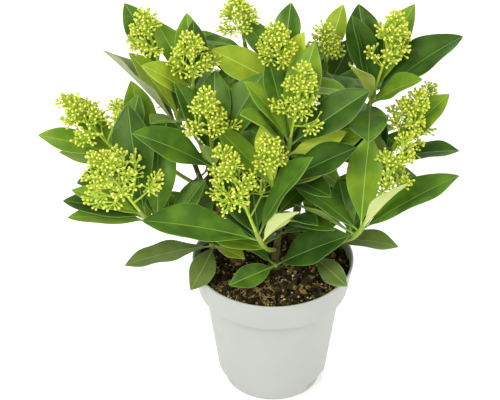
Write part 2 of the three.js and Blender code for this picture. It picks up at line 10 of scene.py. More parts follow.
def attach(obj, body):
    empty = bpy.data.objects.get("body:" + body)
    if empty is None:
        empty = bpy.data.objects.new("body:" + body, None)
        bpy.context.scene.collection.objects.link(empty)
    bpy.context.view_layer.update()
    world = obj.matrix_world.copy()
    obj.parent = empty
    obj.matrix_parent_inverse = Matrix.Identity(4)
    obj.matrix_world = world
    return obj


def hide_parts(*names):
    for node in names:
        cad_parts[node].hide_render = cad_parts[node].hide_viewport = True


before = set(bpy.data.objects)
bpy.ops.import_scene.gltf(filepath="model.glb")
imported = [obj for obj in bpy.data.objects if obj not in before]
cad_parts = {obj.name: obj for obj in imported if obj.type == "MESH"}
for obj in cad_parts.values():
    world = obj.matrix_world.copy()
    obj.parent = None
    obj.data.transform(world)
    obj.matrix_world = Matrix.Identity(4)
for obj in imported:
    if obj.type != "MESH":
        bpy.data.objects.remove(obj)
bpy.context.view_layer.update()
print("frame loaded:", len(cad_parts), "CAD nodes")

mm = 0.001
goldenAngle = 137.5  # from one leaf or twig to the next round its shoot
clearance = 0.3  # between solids that meet

cameraSet = {"place": (-18.6, -1590.7, 1331.2), "tilt": 54.0, "lens": 177.8, "sensor": 36.0}

cameraData = bpy.data.cameras.new("camera")
cameraData.lens = cameraSet["lens"]
cameraData.sensor_width = cameraSet["sensor"]
cameraData.clip_end = 50
camera = bpy.data.objects.new("camera", cameraData)
camera.location = Vector(cameraSet["place"]) * mm
camera.rotation_euler = (math.radians(cameraSet["tilt"]), 0, 0)
bpy.context.scene.collection.objects.link(camera)
bpy.context.scene.camera = camera


class Pile:
    # Points in millimetres and faces with a material number, gathered for one piece.
    def __init__(self):
        self.points = []
        self.faces = []
        self.tints = []

    def add(self, points, faces, tints):
        start = len(self.points)
        self.points.extend(points)
        self.faces.extend([tuple(start + i for i in face) for face in faces])
        self.tints.extend(tints if isinstance(tints, list) else [tints] * len(faces))


# Smooth, with sharp edges where two faces turn by more than the crease.
def finishMesh(piece, crease=40):
    piece.data.shade_smooth()
    piece.data.set_sharp_from_angle(angle=math.radians(crease))
    return piece


def makePiece(name, pile, materials, crease=40):
    mesh = bpy.data.meshes.new(name)
    mesh.from_pydata([point * mm for point in pile.points], [], pile.faces)
    for material in materials:
        mesh.materials.append(material)
    mesh.polygons.foreach_set("material_index", pile.tints)
    shape = bmesh.new()
    shape.from_mesh(mesh)
    bmesh.ops.recalc_face_normals(shape, faces=shape.faces)
    shape.to_mesh(mesh)
    shape.free()
    piece = bpy.data.objects.new(name, mesh)
    bpy.context.scene.collection.objects.link(piece)
    return finishMesh(piece, crease)


# A piece on the part's one body, in place of the CAD nodes that it grows over.
def settle(piece, nodes=()):
    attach(piece, "root")
    if nodes:
        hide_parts(*nodes)


# A tube along points, with a radius for each ring. The relief gives a factor for a point and a turn.
def sweep(pile, centres, radii, sides, relief):
    count = len(centres)
    points = []
    across = None
    for i, centre in enumerate(centres):
        way = (centres[min(i + 1, count - 1)] - centres[max(i - 1, 0)]).normalized()
        if across is None:
            across = way.orthogonal()
        across = (across - way * across.dot(way)).normalized()
        along = way.cross(across)
        for k in range(sides):
            turn = 2 * math.pi * k / sides
            outward = across * math.cos(turn) + along * math.sin(turn)
            points.append(centre + outward * (radii[i] * relief(centre, turn)))
    faces = []
    for i in range(count - 1):
        low, high = i * sides, (i + 1) * sides
        for k in range(sides):
            after = (k + 1) % sides
            faces.append((low + k, low + after, high + after, high + k))
    faces.append(tuple(range(sides))[::-1])
    faces.append(tuple(range(len(points) - sides, len(points))))
    pile.add(points, faces, 0)


# An empty tree with a geometry going in and out, and its named inputs.
def treeWith(name, sockets):
    tree = bpy.data.node_groups.new(name, "GeometryNodeTree")
    tree.interface.new_socket(name="Geometry", in_out="INPUT", socket_type="NodeSocketGeometry")
    for label, kind, value in sockets:
        socket = tree.interface.new_socket(name=label, in_out="INPUT", socket_type=kind)
        if value is not None:
            socket.default_value = value
    tree.interface.new_socket(name="Geometry", in_out="OUTPUT", socket_type="NodeSocketGeometry")
    return tree


class Wiring:
    # Makes the nodes of one tree, with values or links on their inputs.
    def __init__(self, tree):
        self.tree = tree
        self.source = tree.nodes.new("NodeGroupInput")
        self.sink = tree.nodes.new("NodeGroupOutput")

    def node(self, kind, inputs=(), **settings):
        made = self.tree.nodes.new(kind)
        for key, value in settings.items():
            setattr(made, key, value)
        for socket, value in dict(inputs).items():
            target = made.inputs[socket]
            if isinstance(value, bpy.types.NodeSocket):
                self.tree.links.new(value, target)
            else:
                target.default_value = value
        return made

    def attribute(self, name, kind):
        stored = self.node("GeometryNodeInputNamedAttribute", {"Name": name}, data_type=kind)
        return stored.outputs["Attribute"]


# Runs a tree on a piece with values for its named inputs, and leaves the result as a plain mesh.
def runTree(piece, tree, values):
    modifier = piece.modifiers.new(tree.name, "NODES")
    modifier.node_group = tree
    for item in tree.interface.items_tree:
        if item.in_out == "INPUT" and item.name in values:
            modifier[item.identifier] = values[item.name]
    bpy.context.view_layer.update()
    evaluated = piece.evaluated_get(bpy.context.evaluated_depsgraph_get())
    mesh = bpy.data.meshes.new_from_object(evaluated)
    piece.modifiers.remove(modifier)
    old = piece.data
    piece.data = mesh
    bpy.data.meshes.remove(old)
    mesh.name = piece.name


# Lines or points in millimetres as a bare mesh, with an attribute value for each point.
def makeLines(name, points, edges, attributes):
    mesh = bpy.data.meshes.new(name)
    mesh.from_pydata([point * mm for point in points], edges, [])
    for key, (kind, values) in attributes.items():
        layer = mesh.attributes.new(key, kind, "POINT")
        layer.data.foreach_set("vector" if kind == "FLOAT_VECTOR" else "value", values)
    piece = bpy.data.objects.new(name, mesh)
    bpy.context.scene.collection.objects.link(piece)
    return piece


# Tubes along lines, with the radius that each point of a line has stored.
def makeStalkTree():
    tree = treeWith("roundStalks", [
        ("Sides", "NodeSocketInt", 6),
        ("Stalk Material", "NodeSocketMaterial", None),
    ])
    wire = Wiring(tree)
    given = wire.source.outputs
    lines = wire.node("GeometryNodeMeshToCurve", {"Mesh": given["Geometry"]})
    outline = wire.node("GeometryNodeCurvePrimitiveCircle", {
        "Resolution": given["Sides"], "Radius": 1.0})
    tubes = wire.node("GeometryNodeCurveToMesh", {
        "Curve": lines.outputs["Curve"], "Profile Curve": outline.outputs["Curve"],
        "Scale": wire.attribute("stalkRadius", "FLOAT"), "Fill Caps": True})
    real = wire.node("GeometryNodeRealizeInstances", {"Geometry": tubes.outputs["Mesh"]})
    painted = wire.node("GeometryNodeSetMaterial", {
        "Geometry": real.outputs["Geometry"], "Material": given["Stalk Material"]})
    tree.links.new(painted.outputs["Geometry"], wire.sink.inputs["Geometry"])
    return tree


# Buds on points, each with its stored direction and size. Their tips are painted highlights: yellow,
# and on some pale.
def makeBudTree():
    tree = treeWith("flowerBuds", [
        ("Sides", "NodeSocketInt", 7),
        ("Bands", "NodeSocketInt", 4),
        ("Stretch", "NodeSocketFloat", 1.2),
        ("Highlight Start", "NodeSocketFloat", 0.5),
        ("Pale Share", "NodeSocketFloat", 0.4),
        ("Seed", "NodeSocketInt", 5),
        ("Bud Material", "NodeSocketMaterial", None),
        ("Highlight Material", "NodeSocketMaterial", None),
        ("Pale Highlight Material", "NodeSocketMaterial", None),
    ])
    wire = Wiring(tree)
    given = wire.source.outputs
    ballRadius = 0.5  # one across, so that a point's size is the bud's width
    ball = wire.node("GeometryNodeMeshUVSphere", {
        "Segments": given["Sides"], "Rings": given["Bands"], "Radius": ballRadius})
    place = wire.node("GeometryNodeInputPosition")
    split = wire.node("ShaderNodeSeparateXYZ", {"Vector": place.outputs["Position"]})
    # The faces at a bud's upper end, toward its tip, are marked for the painted highlight.
    isHigh = wire.node("FunctionNodeCompare", operation="GREATER_THAN")
    tree.links.new(split.outputs["Z"], isHigh.inputs[0])
    highlightStart = wire.node("ShaderNodeMath", {0: given["Highlight Start"], 1: ballRadius}, operation="MULTIPLY")
    tree.links.new(highlightStart.outputs[0], isHigh.inputs[1])
    marked = wire.node("GeometryNodeStoreNamedAttribute", {
        "Geometry": ball.outputs["Mesh"], "Name": "budHighlight"}, data_type="BOOLEAN", domain="FACE")
    tree.links.new(isHigh.outputs[0], marked.inputs["Value"])
    tall = wire.node("ShaderNodeCombineXYZ", {"X": 1.0, "Y": 1.0, "Z": given["Stretch"]})
    shaped = wire.node("GeometryNodeTransform", {
        "Geometry": marked.outputs["Geometry"], "Scale": tall.outputs["Vector"]})
    aim = wire.node("FunctionNodeAlignRotationToVector", {
        "Vector": wire.attribute("budWay", "FLOAT_VECTOR")}, axis="Z")
    spread = wire.node("GeometryNodeInstanceOnPoints", {
        "Points": given["Geometry"],
        "Instance": shaped.outputs["Geometry"],
        "Rotation": aim.outputs["Rotation"],
        "Scale": wire.attribute("budSize", "FLOAT")})
    luck = wire.node("FunctionNodeRandomValue", {"Seed": given["Seed"]}, data_type="FLOAT")
    dealt = wire.node("GeometryNodeStoreNamedAttribute", {
        "Geometry": spread.outputs["Instances"], "Name": "budLuck",
        "Value": luck.outputs[1]}, data_type="FLOAT", domain="INSTANCE")
    real = wire.node("GeometryNodeRealizeInstances", {"Geometry": dealt.outputs["Geometry"]})
    green = wire.node("GeometryNodeSetMaterial", {
        "Geometry": real.outputs["Geometry"], "Material": given["Bud Material"]})
    isHighlight = wire.attribute("budHighlight", "BOOLEAN")
    yellow = wire.node("GeometryNodeSetMaterial", {
        "Geometry": green.outputs["Geometry"], "Selection": isHighlight, "Material": given["Highlight Material"]})
    isPale = wire.node("FunctionNodeCompare", operation="LESS_THAN")
    tree.links.new(wire.attribute("budLuck", "FLOAT"), isPale.inputs[0])
    tree.links.new(given["Pale Share"], isPale.inputs[1])
    both = wire.node("FunctionNodeBooleanMath", {0: isHighlight, 1: isPale.outputs[0]}, operation="AND")
    pale = wire.node("GeometryNodeSetMaterial", {
        "Geometry": yellow.outputs["Geometry"], "Selection": both.outputs[0],
        "Material": given["Pale Highlight Material"]})
    tree.links.new(pale.outputs["Geometry"], wire.sink.inputs["Geometry"])
    return tree


crumbShape = {"lumpScale": 1.3, "lumpDepth": (1.6, 1.6, 1.1), "width": 0.8, "tilt": 0.9}


# Lumpy crumbs strewn over a surface, each with its own size and turn.
def makeCrumbTree():
    tree = treeWith("scatteredCrumbs", [
        ("Density", "NodeSocketFloat", 100000.0),
        ("Smallest", "NodeSocketFloat", 0.0005),
        ("Largest", "NodeSocketFloat", 0.0015),
        ("Flatness", "NodeSocketFloat", 0.7),
        ("Roundness", "NodeSocketInt", 1),
        ("Seed", "NodeSocketInt", 1),
        ("Crumb Material", "NodeSocketMaterial", None),
    ])
    wire = Wiring(tree)
    given = wire.source.outputs
    points = wire.node("GeometryNodeDistributePointsOnFaces", {
        "Mesh": given["Geometry"], "Density": given["Density"], "Seed": given["Seed"]})
    ball = wire.node("GeometryNodeMeshIcoSphere", {"Radius": 1.0, "Subdivisions": given["Roundness"]})
    place = wire.node("GeometryNodeInputPosition")
    rough = wire.node("ShaderNodeTexNoise", {
        "Vector": place.outputs["Position"], "Scale": crumbShape["lumpScale"], "Detail": 1.0})
    centred = wire.node("ShaderNodeVectorMath", {
        0: rough.outputs["Color"], 1: (0.5, 0.5, 0.5)}, operation="SUBTRACT")
    pushed = wire.node("ShaderNodeVectorMath", {
        0: centred.outputs[0], 1: crumbShape["lumpDepth"]}, operation="MULTIPLY")
    lump = wire.node("GeometryNodeSetPosition", {
        "Geometry": ball.outputs["Mesh"], "Offset": pushed.outputs[0]})
    thin = wire.node("ShaderNodeCombineXYZ", {
        "X": 1.0, "Y": crumbShape["width"], "Z": given["Flatness"]})
    flat = wire.node("GeometryNodeTransform", {
        "Geometry": lump.outputs["Geometry"], "Scale": thin.outputs["Vector"]})
    size = wire.node("FunctionNodeRandomValue", {
        2: given["Smallest"], 3: given["Largest"], "Seed": given["Seed"]}, data_type="FLOAT")
    tilt, fullTurn = crumbShape["tilt"], 6.283
    turn = wire.node("FunctionNodeRandomValue", {
        0: (-tilt, -tilt, 0.0), 1: (tilt, tilt, fullTurn), "Seed": given["Seed"]},
        data_type="FLOAT_VECTOR")
    spread = wire.node("GeometryNodeInstanceOnPoints", {
        "Points": points.outputs["Points"],
        "Instance": flat.outputs["Geometry"],
        "Scale": size.outputs[1]})
    tree.links.new(turn.outputs[0], spread.inputs["Rotation"])
    real = wire.node("GeometryNodeRealizeInstances", {"Geometry": spread.outputs["Instances"]})
    painted = wire.node("GeometryNodeSetMaterial", {
        "Geometry": real.outputs["Geometry"], "Material": given["Crumb Material"]})
    tree.links.new(painted.outputs["Geometry"], wire.sink.inputs["Geometry"])
    return tree


stalkTree = makeStalkTree()
budTree = makeBudTree()
crumbTree = makeCrumbTree()
print("geometry trees ready")


# A colour as a screen shows it, from 0 to 255, as the shader's linear colour.
def tint(red, green, blue):
    shares = [part / 255 for part in (red, green, blue)]
    linear = [((part + 0.055) / 1.055) ** 2.4 if part > 0.04045 else part / 12.92 for part in shares]
    return (*linear, 1.0)


# Soft patches of a second colour with a finer grain in them. Patch and Grain are sizes in metres.
def makeMottle():
    group = bpy.data.node_groups.new("softMottle", "ShaderNodeTree")
    for label, kind, value in [
        ("Colour", "NodeSocketColor", (0.5, 0.5, 0.5, 1)),
        ("Patch Colour", "NodeSocketColor", (0.4, 0.4, 0.4, 1)),
        ("Patch Size", "NodeSocketFloat", 0.01),
        ("Patch Edge", "NodeSocketFloat", 0.12),
        ("Patch Share", "NodeSocketFloat", 0.5),
        ("Grain Size", "NodeSocketFloat", 0.001),
        ("Grain Depth", "NodeSocketFloat", 0.15),
        ("Smooth", "NodeSocketFloat", 0.4),
        ("Rough", "NodeSocketFloat", 0.6),
        ("Stretch", "NodeSocketVector", (1, 1, 1)),
    ]:
        socket = group.interface.new_socket(name=label, in_out="INPUT", socket_type=kind)
        socket.default_value = value
    for label, kind in [("Colour", "NodeSocketColor"), ("Roughness", "NodeSocketFloat"),
                        ("Height", "NodeSocketFloat")]:
        group.interface.new_socket(name=label, in_out="OUTPUT", socket_type=kind)
    wire = Wiring(group)
    given = wire.source.outputs
    place = wire.node("ShaderNodeTexCoord")
    drawn = wire.node("ShaderNodeVectorMath", {0: place.outputs["Object"], 1: given["Stretch"]},
                      operation="MULTIPLY")

    def cloud(size, detail):
        scale = wire.node("ShaderNodeMath", {0: 1.0, 1: size}, operation="DIVIDE")
        return wire.node("ShaderNodeTexNoise", {
            "Vector": drawn.outputs[0], "Scale": scale.outputs[0], "Detail": detail}).outputs["Fac"]

    patches = cloud(given["Patch Size"], 2.0)
    grain = cloud(given["Grain Size"], 3.0)
    low = wire.node("ShaderNodeMath", {0: given["Patch Share"], 1: given["Patch Edge"]},
                    operation="SUBTRACT")
    high = wire.node("ShaderNodeMath", {0: given["Patch Share"], 1: given["Patch Edge"]},
                     operation="ADD")
    mask = wire.node("ShaderNodeMapRange", {
        "Value": patches, "From Min": low.outputs[0], "From Max": high.outputs[0]},
        interpolation_type="SMOOTHSTEP")
    mixed = wire.node("ShaderNodeMix", {
        0: mask.outputs[0], 6: given["Colour"], 7: given["Patch Colour"]}, data_type="RGBA")
    grainLow, grainHigh = 0.3, 0.7  # where a noise has nearly all its values
    deep = wire.node("ShaderNodeMapRange", {
        "Value": grain, "From Min": grainLow, "From Max": grainHigh, "To Min": 1.0, "To Max": 0.0})
    shade = wire.node("ShaderNodeMath", {0: deep.outputs[0], 1: given["Grain Depth"]},
                      operation="MULTIPLY")
    keep = wire.node("ShaderNodeMath", {0: 1.0, 1: shade.outputs[0]}, operation="SUBTRACT")
    darker = wire.node("ShaderNodeVectorMath", {0: mixed.outputs[2]}, operation="SCALE")
    group.links.new(keep.outputs[0], darker.inputs["Scale"])
    rough = wire.node("ShaderNodeMapRange", {
        "Value": grain, "From Min": grainLow, "From Max": grainHigh,
        "To Min": given["Smooth"], "To Max": given["Rough"]})
    group.links.new(darker.outputs[0], wire.sink.inputs["Colour"])
    group.links.new(rough.outputs[0], wire.sink.inputs["Roughness"])
    group.links.new(grain, wire.sink.inputs["Height"])
    return group


mottle = makeMottle()


# A Principled material on the mottle group. Depth is the bump's, in millimetres. A word for a
# shader socket has _ for each space.
def finish(name, colour, patch, grain, depth, strength=0.5, **sockets):
    material = bpy.data.materials.new(name)
    material.use_nodes = True
    tree = material.node_tree
    shader = tree.nodes["Principled BSDF"]
    group = tree.nodes.new("ShaderNodeGroup")
    group.node_tree = mottle
    group.inputs["Colour"].default_value = colour
    group.inputs["Patch Colour"].default_value = patch
    for key, value in grain.items():
        group.inputs[key].default_value = value
    bump = tree.nodes.new("ShaderNodeBump")
    bump.inputs["Distance"].default_value = depth * mm
    bump.inputs["Strength"].default_value = strength
    tree.links.new(group.outputs["Colour"], shader.inputs["Base Color"])
    tree.links.new(group.outputs["Roughness"], shader.inputs["Roughness"])
    tree.links.new(group.outputs["Height"], bump.inputs["Height"])
    tree.links.new(bump.outputs["Normal"], shader.inputs["Normal"])
    for key, value in sockets.items():
        shader.inputs[key.replace("_", " ")].default_value = value
    return material


leafGrain = {"Patch Size": 0.018, "Patch Edge": 0.16, "Grain Size": 0.0012, "Grain Depth": 0.08,
             "Smooth": 0.34, "Rough": 0.48}
matGrain = {"Patch Size": 0.014, "Patch Edge": 0.2, "Grain Size": 0.0009, "Grain Depth": 0.08,
            "Smooth": 0.5, "Rough": 0.62}

# Top, top patches, back and rib of each tint of leaf.
leafTints = {
    "dark": {"top": (54, 88, 24), "patch": (40, 70, 20),
             "back": (124, 146, 66), "rib": (104, 142, 54)},
    "deep": {"top": (84, 122, 32), "patch": (60, 94, 28),
             "back": (132, 154, 70), "rib": (124, 160, 58)},
    "mid": {"top": (120, 150, 38), "patch": (94, 130, 34),
            "back": (150, 172, 70), "rib": (148, 180, 68)},
    "lime": {"top": (150, 170, 42), "patch": (126, 152, 36),
             "back": (172, 184, 84), "rib": (186, 204, 92)},
    "young": {"top": (188, 204, 60), "patch": (168, 188, 48),
              "back": (182, 194, 118), "rib": (170, 190, 84)},
    "old": {"top": (108, 128, 66), "patch": (90, 112, 52),
            "back": (158, 166, 116), "rib": (142, 160, 88)},
}


# Upper face, back and rib, in the order of a blade's face numbers.
def leafFinishes(name):
    shades = {part: tint(*colour) for part, colour in leafTints[name].items()}
    grain = matGrain if name == "young" else leafGrain
    top = finish(name + "LeafTop", shades["top"], shades["patch"], grain, 0.05,
                 Specular_IOR_Level=0.36, Specular_Tint=tint(210, 232, 150))
    back = finish(name + "LeafBack", shades["back"], shades["back"], matGrain, 0.05)
    rib = finish(name + "LeafRib", shades["rib"], shades["rib"], matGrain, 0.03)
    return [top, back, rib]


print("materials ready")


class Dice:
    # Each leaf, twig or fibre has a dice of its own, so that one more changes no other.
    def __init__(self, seed):
        self.state = (seed * 7919) % 2147483646 + 1
        for _ in range(3):
            self.roll()

    def roll(self):
        self.state = self.state * 16807 % 2147483647
        return self.state / 2147483647

    def between(self, low, high):
        return low + (high - low) * self.roll()


# What sets the dice of each kind apart. A leaf's or twig's seed starts from its shoot's number.
seeds = {"more": 50, "ruled": 100, "lower": 200, "twig": 500, "halfTwig": 50, "tint": 7000,
         "cyme": 9000, "topCyme": 9900, "blade": 40000, "fibre": 60000}


def direction(toward, rise):
    turn, lift = math.radians(toward), math.radians(rise)
    return Vector((math.cos(turn) * math.cos(lift), math.sin(turn) * math.cos(lift), math.sin(lift)))


# The direction that rises from one direction towards another, square to it.
def raised(outward, axis, rise):
    return outward * math.cos(math.radians(rise)) + axis * math.sin(math.radians(rise))


# The level direction at an angle round an axis, made square to that axis.
def awayFrom(axis, around):
    level = direction(around, 0)
    return (level - axis * level.dot(axis)).normalized()


# Point and direction at a share of a Bezier curve.
def onCurve(controls, share):
    points = list(controls)
    while len(points) > 2:
        points = [one.lerp(other, share) for one, other in zip(points, points[1:])]
    return points[0].lerp(points[1], share), (points[1] - points[0]).normalized()


# Sizes of the pot, compost and wood, as in the solids.
pot = {"height": 118, "rimRadius": 65, "collarBottom": 92, "collarFootRadius": 61,
       "bodyTopRadius": 55, "heelHeight": 8, "heelRadius": 44, "footRadius": 39, "wall": 1.5,
       "floor": 2, "notchTurns": (87, 206, 328), "notchWidth": 38, "notchDepth": 4.2,
       "drainHoles": 6, "drainRadius": 3.5, "drainRing": 26}
soil = {"top": 110, "edgeDrop": 1.5}
wood = {"flareRadius": 2, "flareHeight": 7, "stemTaper": 0.28, "boughBase": 2.3, "boughTip": 1.8,
        "leaveShare": 0.25, "arriveShare": 0.45, "shootBase": 1.8, "shootNode": 1.6,
        "shootLength": 54, "shortestBough": 0.3}

# Foot on the soil, top, and radius at the foot.
stems = {
    "stem_front": {"foot": (1, -4), "top": (3, -9, 132), "radius": 3.4},
    "stem_left": {"foot": (-30, 6), "top": (-42, 7, 146), "radius": 3.2},
    "stem_right": {"foot": (27, 8), "top": (36, 4, 150), "radius": 3.4},
    "stem_back_left": {"foot": (-16, 34), "top": (-28, 40, 168), "radius": 3.4},
    "stem_back_right": {"foot": (18, 36), "top": (26, 44, 168), "radius": 3.4},
}

# Node where the leaves sit and the flower head begins, its lean (toward, tilt), length and spread
# of the flower head, the stem that carries it at a share of its height, and the leaves that have
# a place of their own: toward, rise, length, drop below the node and, if not a plain one, its look:
# a tint's name, and open, level, edge or folded for how its face is turned. The count is of a
# shoot's upper leaves, dealt ones and all. The solids have no leaves of the list "more".
shoots = [
    {"name": "01", "node": (-90, 62, 262), "lean": (-150, 15), "head": 56, "spread": 0.36,
     "carrier": ("stem_left", 0.97), "count": 5, "more": [(114, 30, 50, 42, "deep")],
     "leaves": [(133, 45, 62, 4), (147, 43, 63, 38, "lime"), (152, 38, 92, 52, "old edge")]},
    {"name": "02", "node": (-63, 36, 258), "lean": (-110, 8), "head": 54, "spread": 0.38,
     "carrier": ("stem_back_left", 0.7), "count": 6,
     "leaves": [(138, 43, 66, 4, "mid"), (99, 54, 64, 4, "mid"), (77, 56, 58, 4),
                (-155, 44, 62, 8, "lime open")]},
    {"name": "03", "node": (-48, -8, 228), "lean": (-150, 6), "head": 60, "spread": 0.36,
     "carrier": ("stem_left", 0.85), "count": 6,
     "leaves": [(136, 44, 68, 6), (88, 52, 68, 4), (-170, 33, 76, 14, "deep"), (43, 47, 79, 7)]},
    {"name": "04", "node": (-124, 12, 214), "lean": (172, 42), "head": 62, "spread": 0.42,
     "carrier": ("stem_left", 0.68), "count": 7,
     "leaves": [(175, 15, 70, 6), (172, 11, 66, 20), (145, 32, 68, 4), (110, 55, 81, 30)]},
    {"name": "05", "node": (-104, -40, 193), "lean": (-165, 30), "head": 66, "spread": 0.52,
     "carrier": ("stem_left", 0.45), "count": 8,
     "leaves": [(174, 10, 66, 6), (180, 3, 64, 10, "level"), (168, 16, 60, 4),
                (105, 53, 90, 6, "dark open"), (89, 54, 76, 18, "deep"), (40, 41, 50, 30)]},
    {"name": "06", "node": (-23, 66, 282), "lean": (-120, 18), "head": 50, "spread": 0.36,
     "carrier": ("stem_back_left", 0.98), "count": 7, "more": [(139, 40, 61, 41, "mid")],
     "leaves": [(175, 10, 38, 6)]},
    {"name": "07", "node": (-14, -46, 178), "lean": (162, 21), "head": 80, "spread": 0.4,
     "carrier": ("stem_front", 0.9), "count": 5,
     "leaves": [(180, 12, 94, 8, "deep"), (-34, 52, 56, 10, "young edge"), (2, 61, 86, 4, "deep")]},
    {"name": "08", "node": (7, 36, 272), "lean": (-125, 12), "head": 50, "spread": 0.38,
     "carrier": ("stem_back_right", 0.95), "count": 7,
     "leaves": [(14, 72, 50, 10, "young open"), (80, 54, 60, 4), (143, 40, 60, 6),
                (-175, 35, 66, 12, "lime open")]},
    {"name": "09", "node": (13, -2, 237), "lean": (30, 11), "head": 64, "spread": 0.36,
     "carrier": ("stem_front", 0.98), "count": 7,
     "leaves": [(117, 51, 72, 6), (62, 51, 82, 4), (6, 22, 50, 12, "young open"),
                (5, 38, 80, 6, "dark open")]},
    {"name": "10", "node": (42, 76, 257), "lean": (-100, 15), "head": 40, "spread": 0.32,
     "carrier": ("stem_back_right", 0.98), "count": 6, "more": [(50, 45, 57, 31, "dark")],
     "leaves": [(63, 53, 52, 4, "lime")]},
    {"name": "11", "node": (80, 42, 251), "lean": (25, 16), "head": 70, "spread": 0.38,
     "carrier": ("stem_back_right", 0.8), "count": 8,
     "leaves": [(16, 32, 88, 6, "dark"), (-26, 40, 58, 10, "mid open"), (-130, 60, 58, 8, "lime"),
                (105, 53, 74, 3, "dark"), (132, 62, 72, 6, "dark folded"), (52, 48, 80, 3)]},
    {"name": "12", "node": (94, 18, 212), "lean": (15, 25), "head": 55, "spread": 0.38,
     "carrier": ("stem_right", 0.95), "count": 7,
     "leaves": [(28, 37, 68, 4), (-10, 15, 60, 8), (136, 44, 38, 8)]},
    {"name": "13", "node": (71, -32, 175), "lean": (31, 30), "head": 82, "spread": 0.36,
     "carrier": ("stem_right", 0.6), "count": 5,
     "leaves": [(80, 60, 75, 4), (12, 28, 90, 6, "deep level"), (-14, 55, 62, 4, "young edge"),
                (156, 29, 66, 6, "level"), (163, 21, 55, 10, "edge")]},
    {"name": "14", "node": (-1, -32, 218), "lean": (-125, 9), "head": 43, "spread": 0.32,
     "carrier": ("stem_front", 0.7), "count": 6, "more": [(53, 9, 47, 35, "deep")],
     "leaves": [(12, 23, 72, 6, "dark"), (5, 24, 52, 10, "young"), (147, 40, 67, 6),
                (113, 53, 54, 9, "young")]},
    {"name": "15", "node": (-70, 100, 185), "lean": (118, 54), "head": 50, "spread": 0.38,
     "carrier": ("stem_back_left", 0.5), "leaves": []},
    {"name": "16", "node": (-12, 104, 188), "lean": (95, 54), "head": 50, "spread": 0.38,
     "carrier": ("stem_back_left", 0.6), "leaves": []},
    {"name": "17", "node": (48, 102, 186), "lean": (66, 56), "head": 50, "spread": 0.38,
     "carrier": ("stem_back_right", 0.5), "leaves": []},
    {"name": "18", "node": (104, 74, 186), "lean": (48, 56), "head": 50, "spread": 0.38,
     "carrier": ("stem_back_right", 0.6), "count": 6, "more": [(20, 42, 42, 30, "deep")],
     "leaves": []},
    {"name": "19", "node": (-100, 84, 166), "lean": (138, 58), "head": 50, "spread": 0.38,
     "carrier": ("stem_back_left", 0.4), "leaves": []},
]

# Short leafy shoots low on a stem, with no flower head.
tufts = [
    {"name": "20", "node": (-50, 5, 127), "lean": (180, 60),
     "carrier": ("stem_left", 0.3), "count": 3,
     "leaves": [(-109, -4, 56, 2, "old open"), (-170, -8, 74, 2, "old level"),
                (-46, 10, 36, 2, "lime")]},
    {"name": "21", "node": (2, -15, 121), "lean": (-95, 50),
     "carrier": ("stem_front", 0.25), "count": 3,
     "leaves": [(-24, 38, 80, 2, "dark open"), (-141, 4, 48, 2, "deep open"),
                (163, 22, 53, 2, "level")]},
    {"name": "22", "node": (34, -4, 123), "lean": (-60, 50),
     "carrier": ("stem_right", 0.15), "count": 1,
     "leaves": [(-60, -4, 52, 2, "old open")]},
    {"name": "23", "node": (44, 8, 132), "lean": (10, 50),
     "carrier": ("stem_right", 0.4), "count": 4,
     "leaves": [(-10, 0, 60, 2, "old")]},
]

# Openings where the sky shows through the crown, seen from the front and above: a point on the
# line of sight and a radius.
sight = direction(90, -36)
openings = [
    {"at": (-81, 0, 197), "radius": 7}, {"at": (-67, 0, 210), "radius": 7.5},
    {"at": (-73, 0, 234), "radius": 3.5}, {"at": (93, 0, 267), "radius": 5},
    {"at": (57, 0, 201), "radius": 3.5}, {"at": (-91, 0, 267), "radius": 3},
    {"at": (-97, 0, 140), "radius": 5}, {"at": (104, 0, 143), "radius": 5},
    {"at": (-10, 0, 338), "radius": 4.5},
]


# A stem rises upright from its foot and leans over to its top.
def stemControls(stem):
    foot = Vector((*stem["foot"], soil["top"] + clearance))
    top = Vector(stem["top"])
    return [foot, Vector((*stem["foot"], (foot.z + top.z) / 2)), top]


# The whole way of a shoot, from its stem's axis to the node below the flower head.
def shootControls(shoot):
    carrier, share = shoot["carrier"]
    start, rising = onCurve(stemControls(stems[carrier]), share)
    node = Vector(shoot["node"])
    reach = (node - start).length
    leave = ((node - start).normalized() + rising).normalized()
    return [start, start + leave * reach * wood["leaveShare"],
            node - shoot["axis"] * reach * wood["arriveShare"], node]


for shoot in shoots + tufts:
    shoot["seed"] = int(shoot["name"]) * 1000
    shoot["axis"] = direction(shoot["lean"][0], 90 - shoot["lean"][1])
    shoot["way"] = shootControls(shoot)
    shoot["reach"] = (shoot["way"][3] - shoot["way"][0]).length
    shoot["boughEnd"] = max(wood["shortestBough"], 1 - wood["shootLength"] / shoot["reach"])
    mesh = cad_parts["foliage_" + shoot["name"]].data
    shoot["solid"] = BVHTree.FromPolygons(
        [vertex.co / mm for vertex in mesh.vertices], [face.vertices for face in mesh.polygons])


shootNodes = ["foliage_" + shoot["name"] for shoot in shoots]
tuftNodes = ["foliage_" + tuft["name"] for tuft in tufts]


# How far a point lies from a shoot's CAD solid.
def farFrom(shoot, point):
    return shoot["solid"].find_nearest(point)[3]


# How near the tip and middle of a leaf or twig come to the solid where the solid has it.
nearness = {"tip": 0.15, "middle": 1.3, "middleShare": 0.42}

# The upper leaves, just below the node. Spreads are the ends of what a dice gives.
leafRule = {"width": 0.39, "fullness": 0.72, "point": 0.3, "pointFrom": 0.7, "widest": 1.2,
            "stalkShare": 0.1, "stalkHalfWidth": 0.9, "tipHalfWidth": 0.2, "bend": 16,
            "fold": 16, "foldedFold": 40, "frontRoll": 12, "openRoll": 24, "edgeRoll": 36,
            "widthSpread": (0.9, 1.1), "bendSpread": (0.5, 1.5), "foldSpread": (0.6, 1.4),
            "rollSpread": (-14, 14), "turnSpread": (-12, 12), "riseSpread": (-7, 7),
            "lowestFoot": 0.02, "drop": 4, "perShoot": 8, "openFront": 50, "openRise": 12,
            "turnApart": 38, "turns": 24, "firstTurn": 61, "innerRise": 52, "riseStep": 3,
            "shortest": 60, "longest": 82}

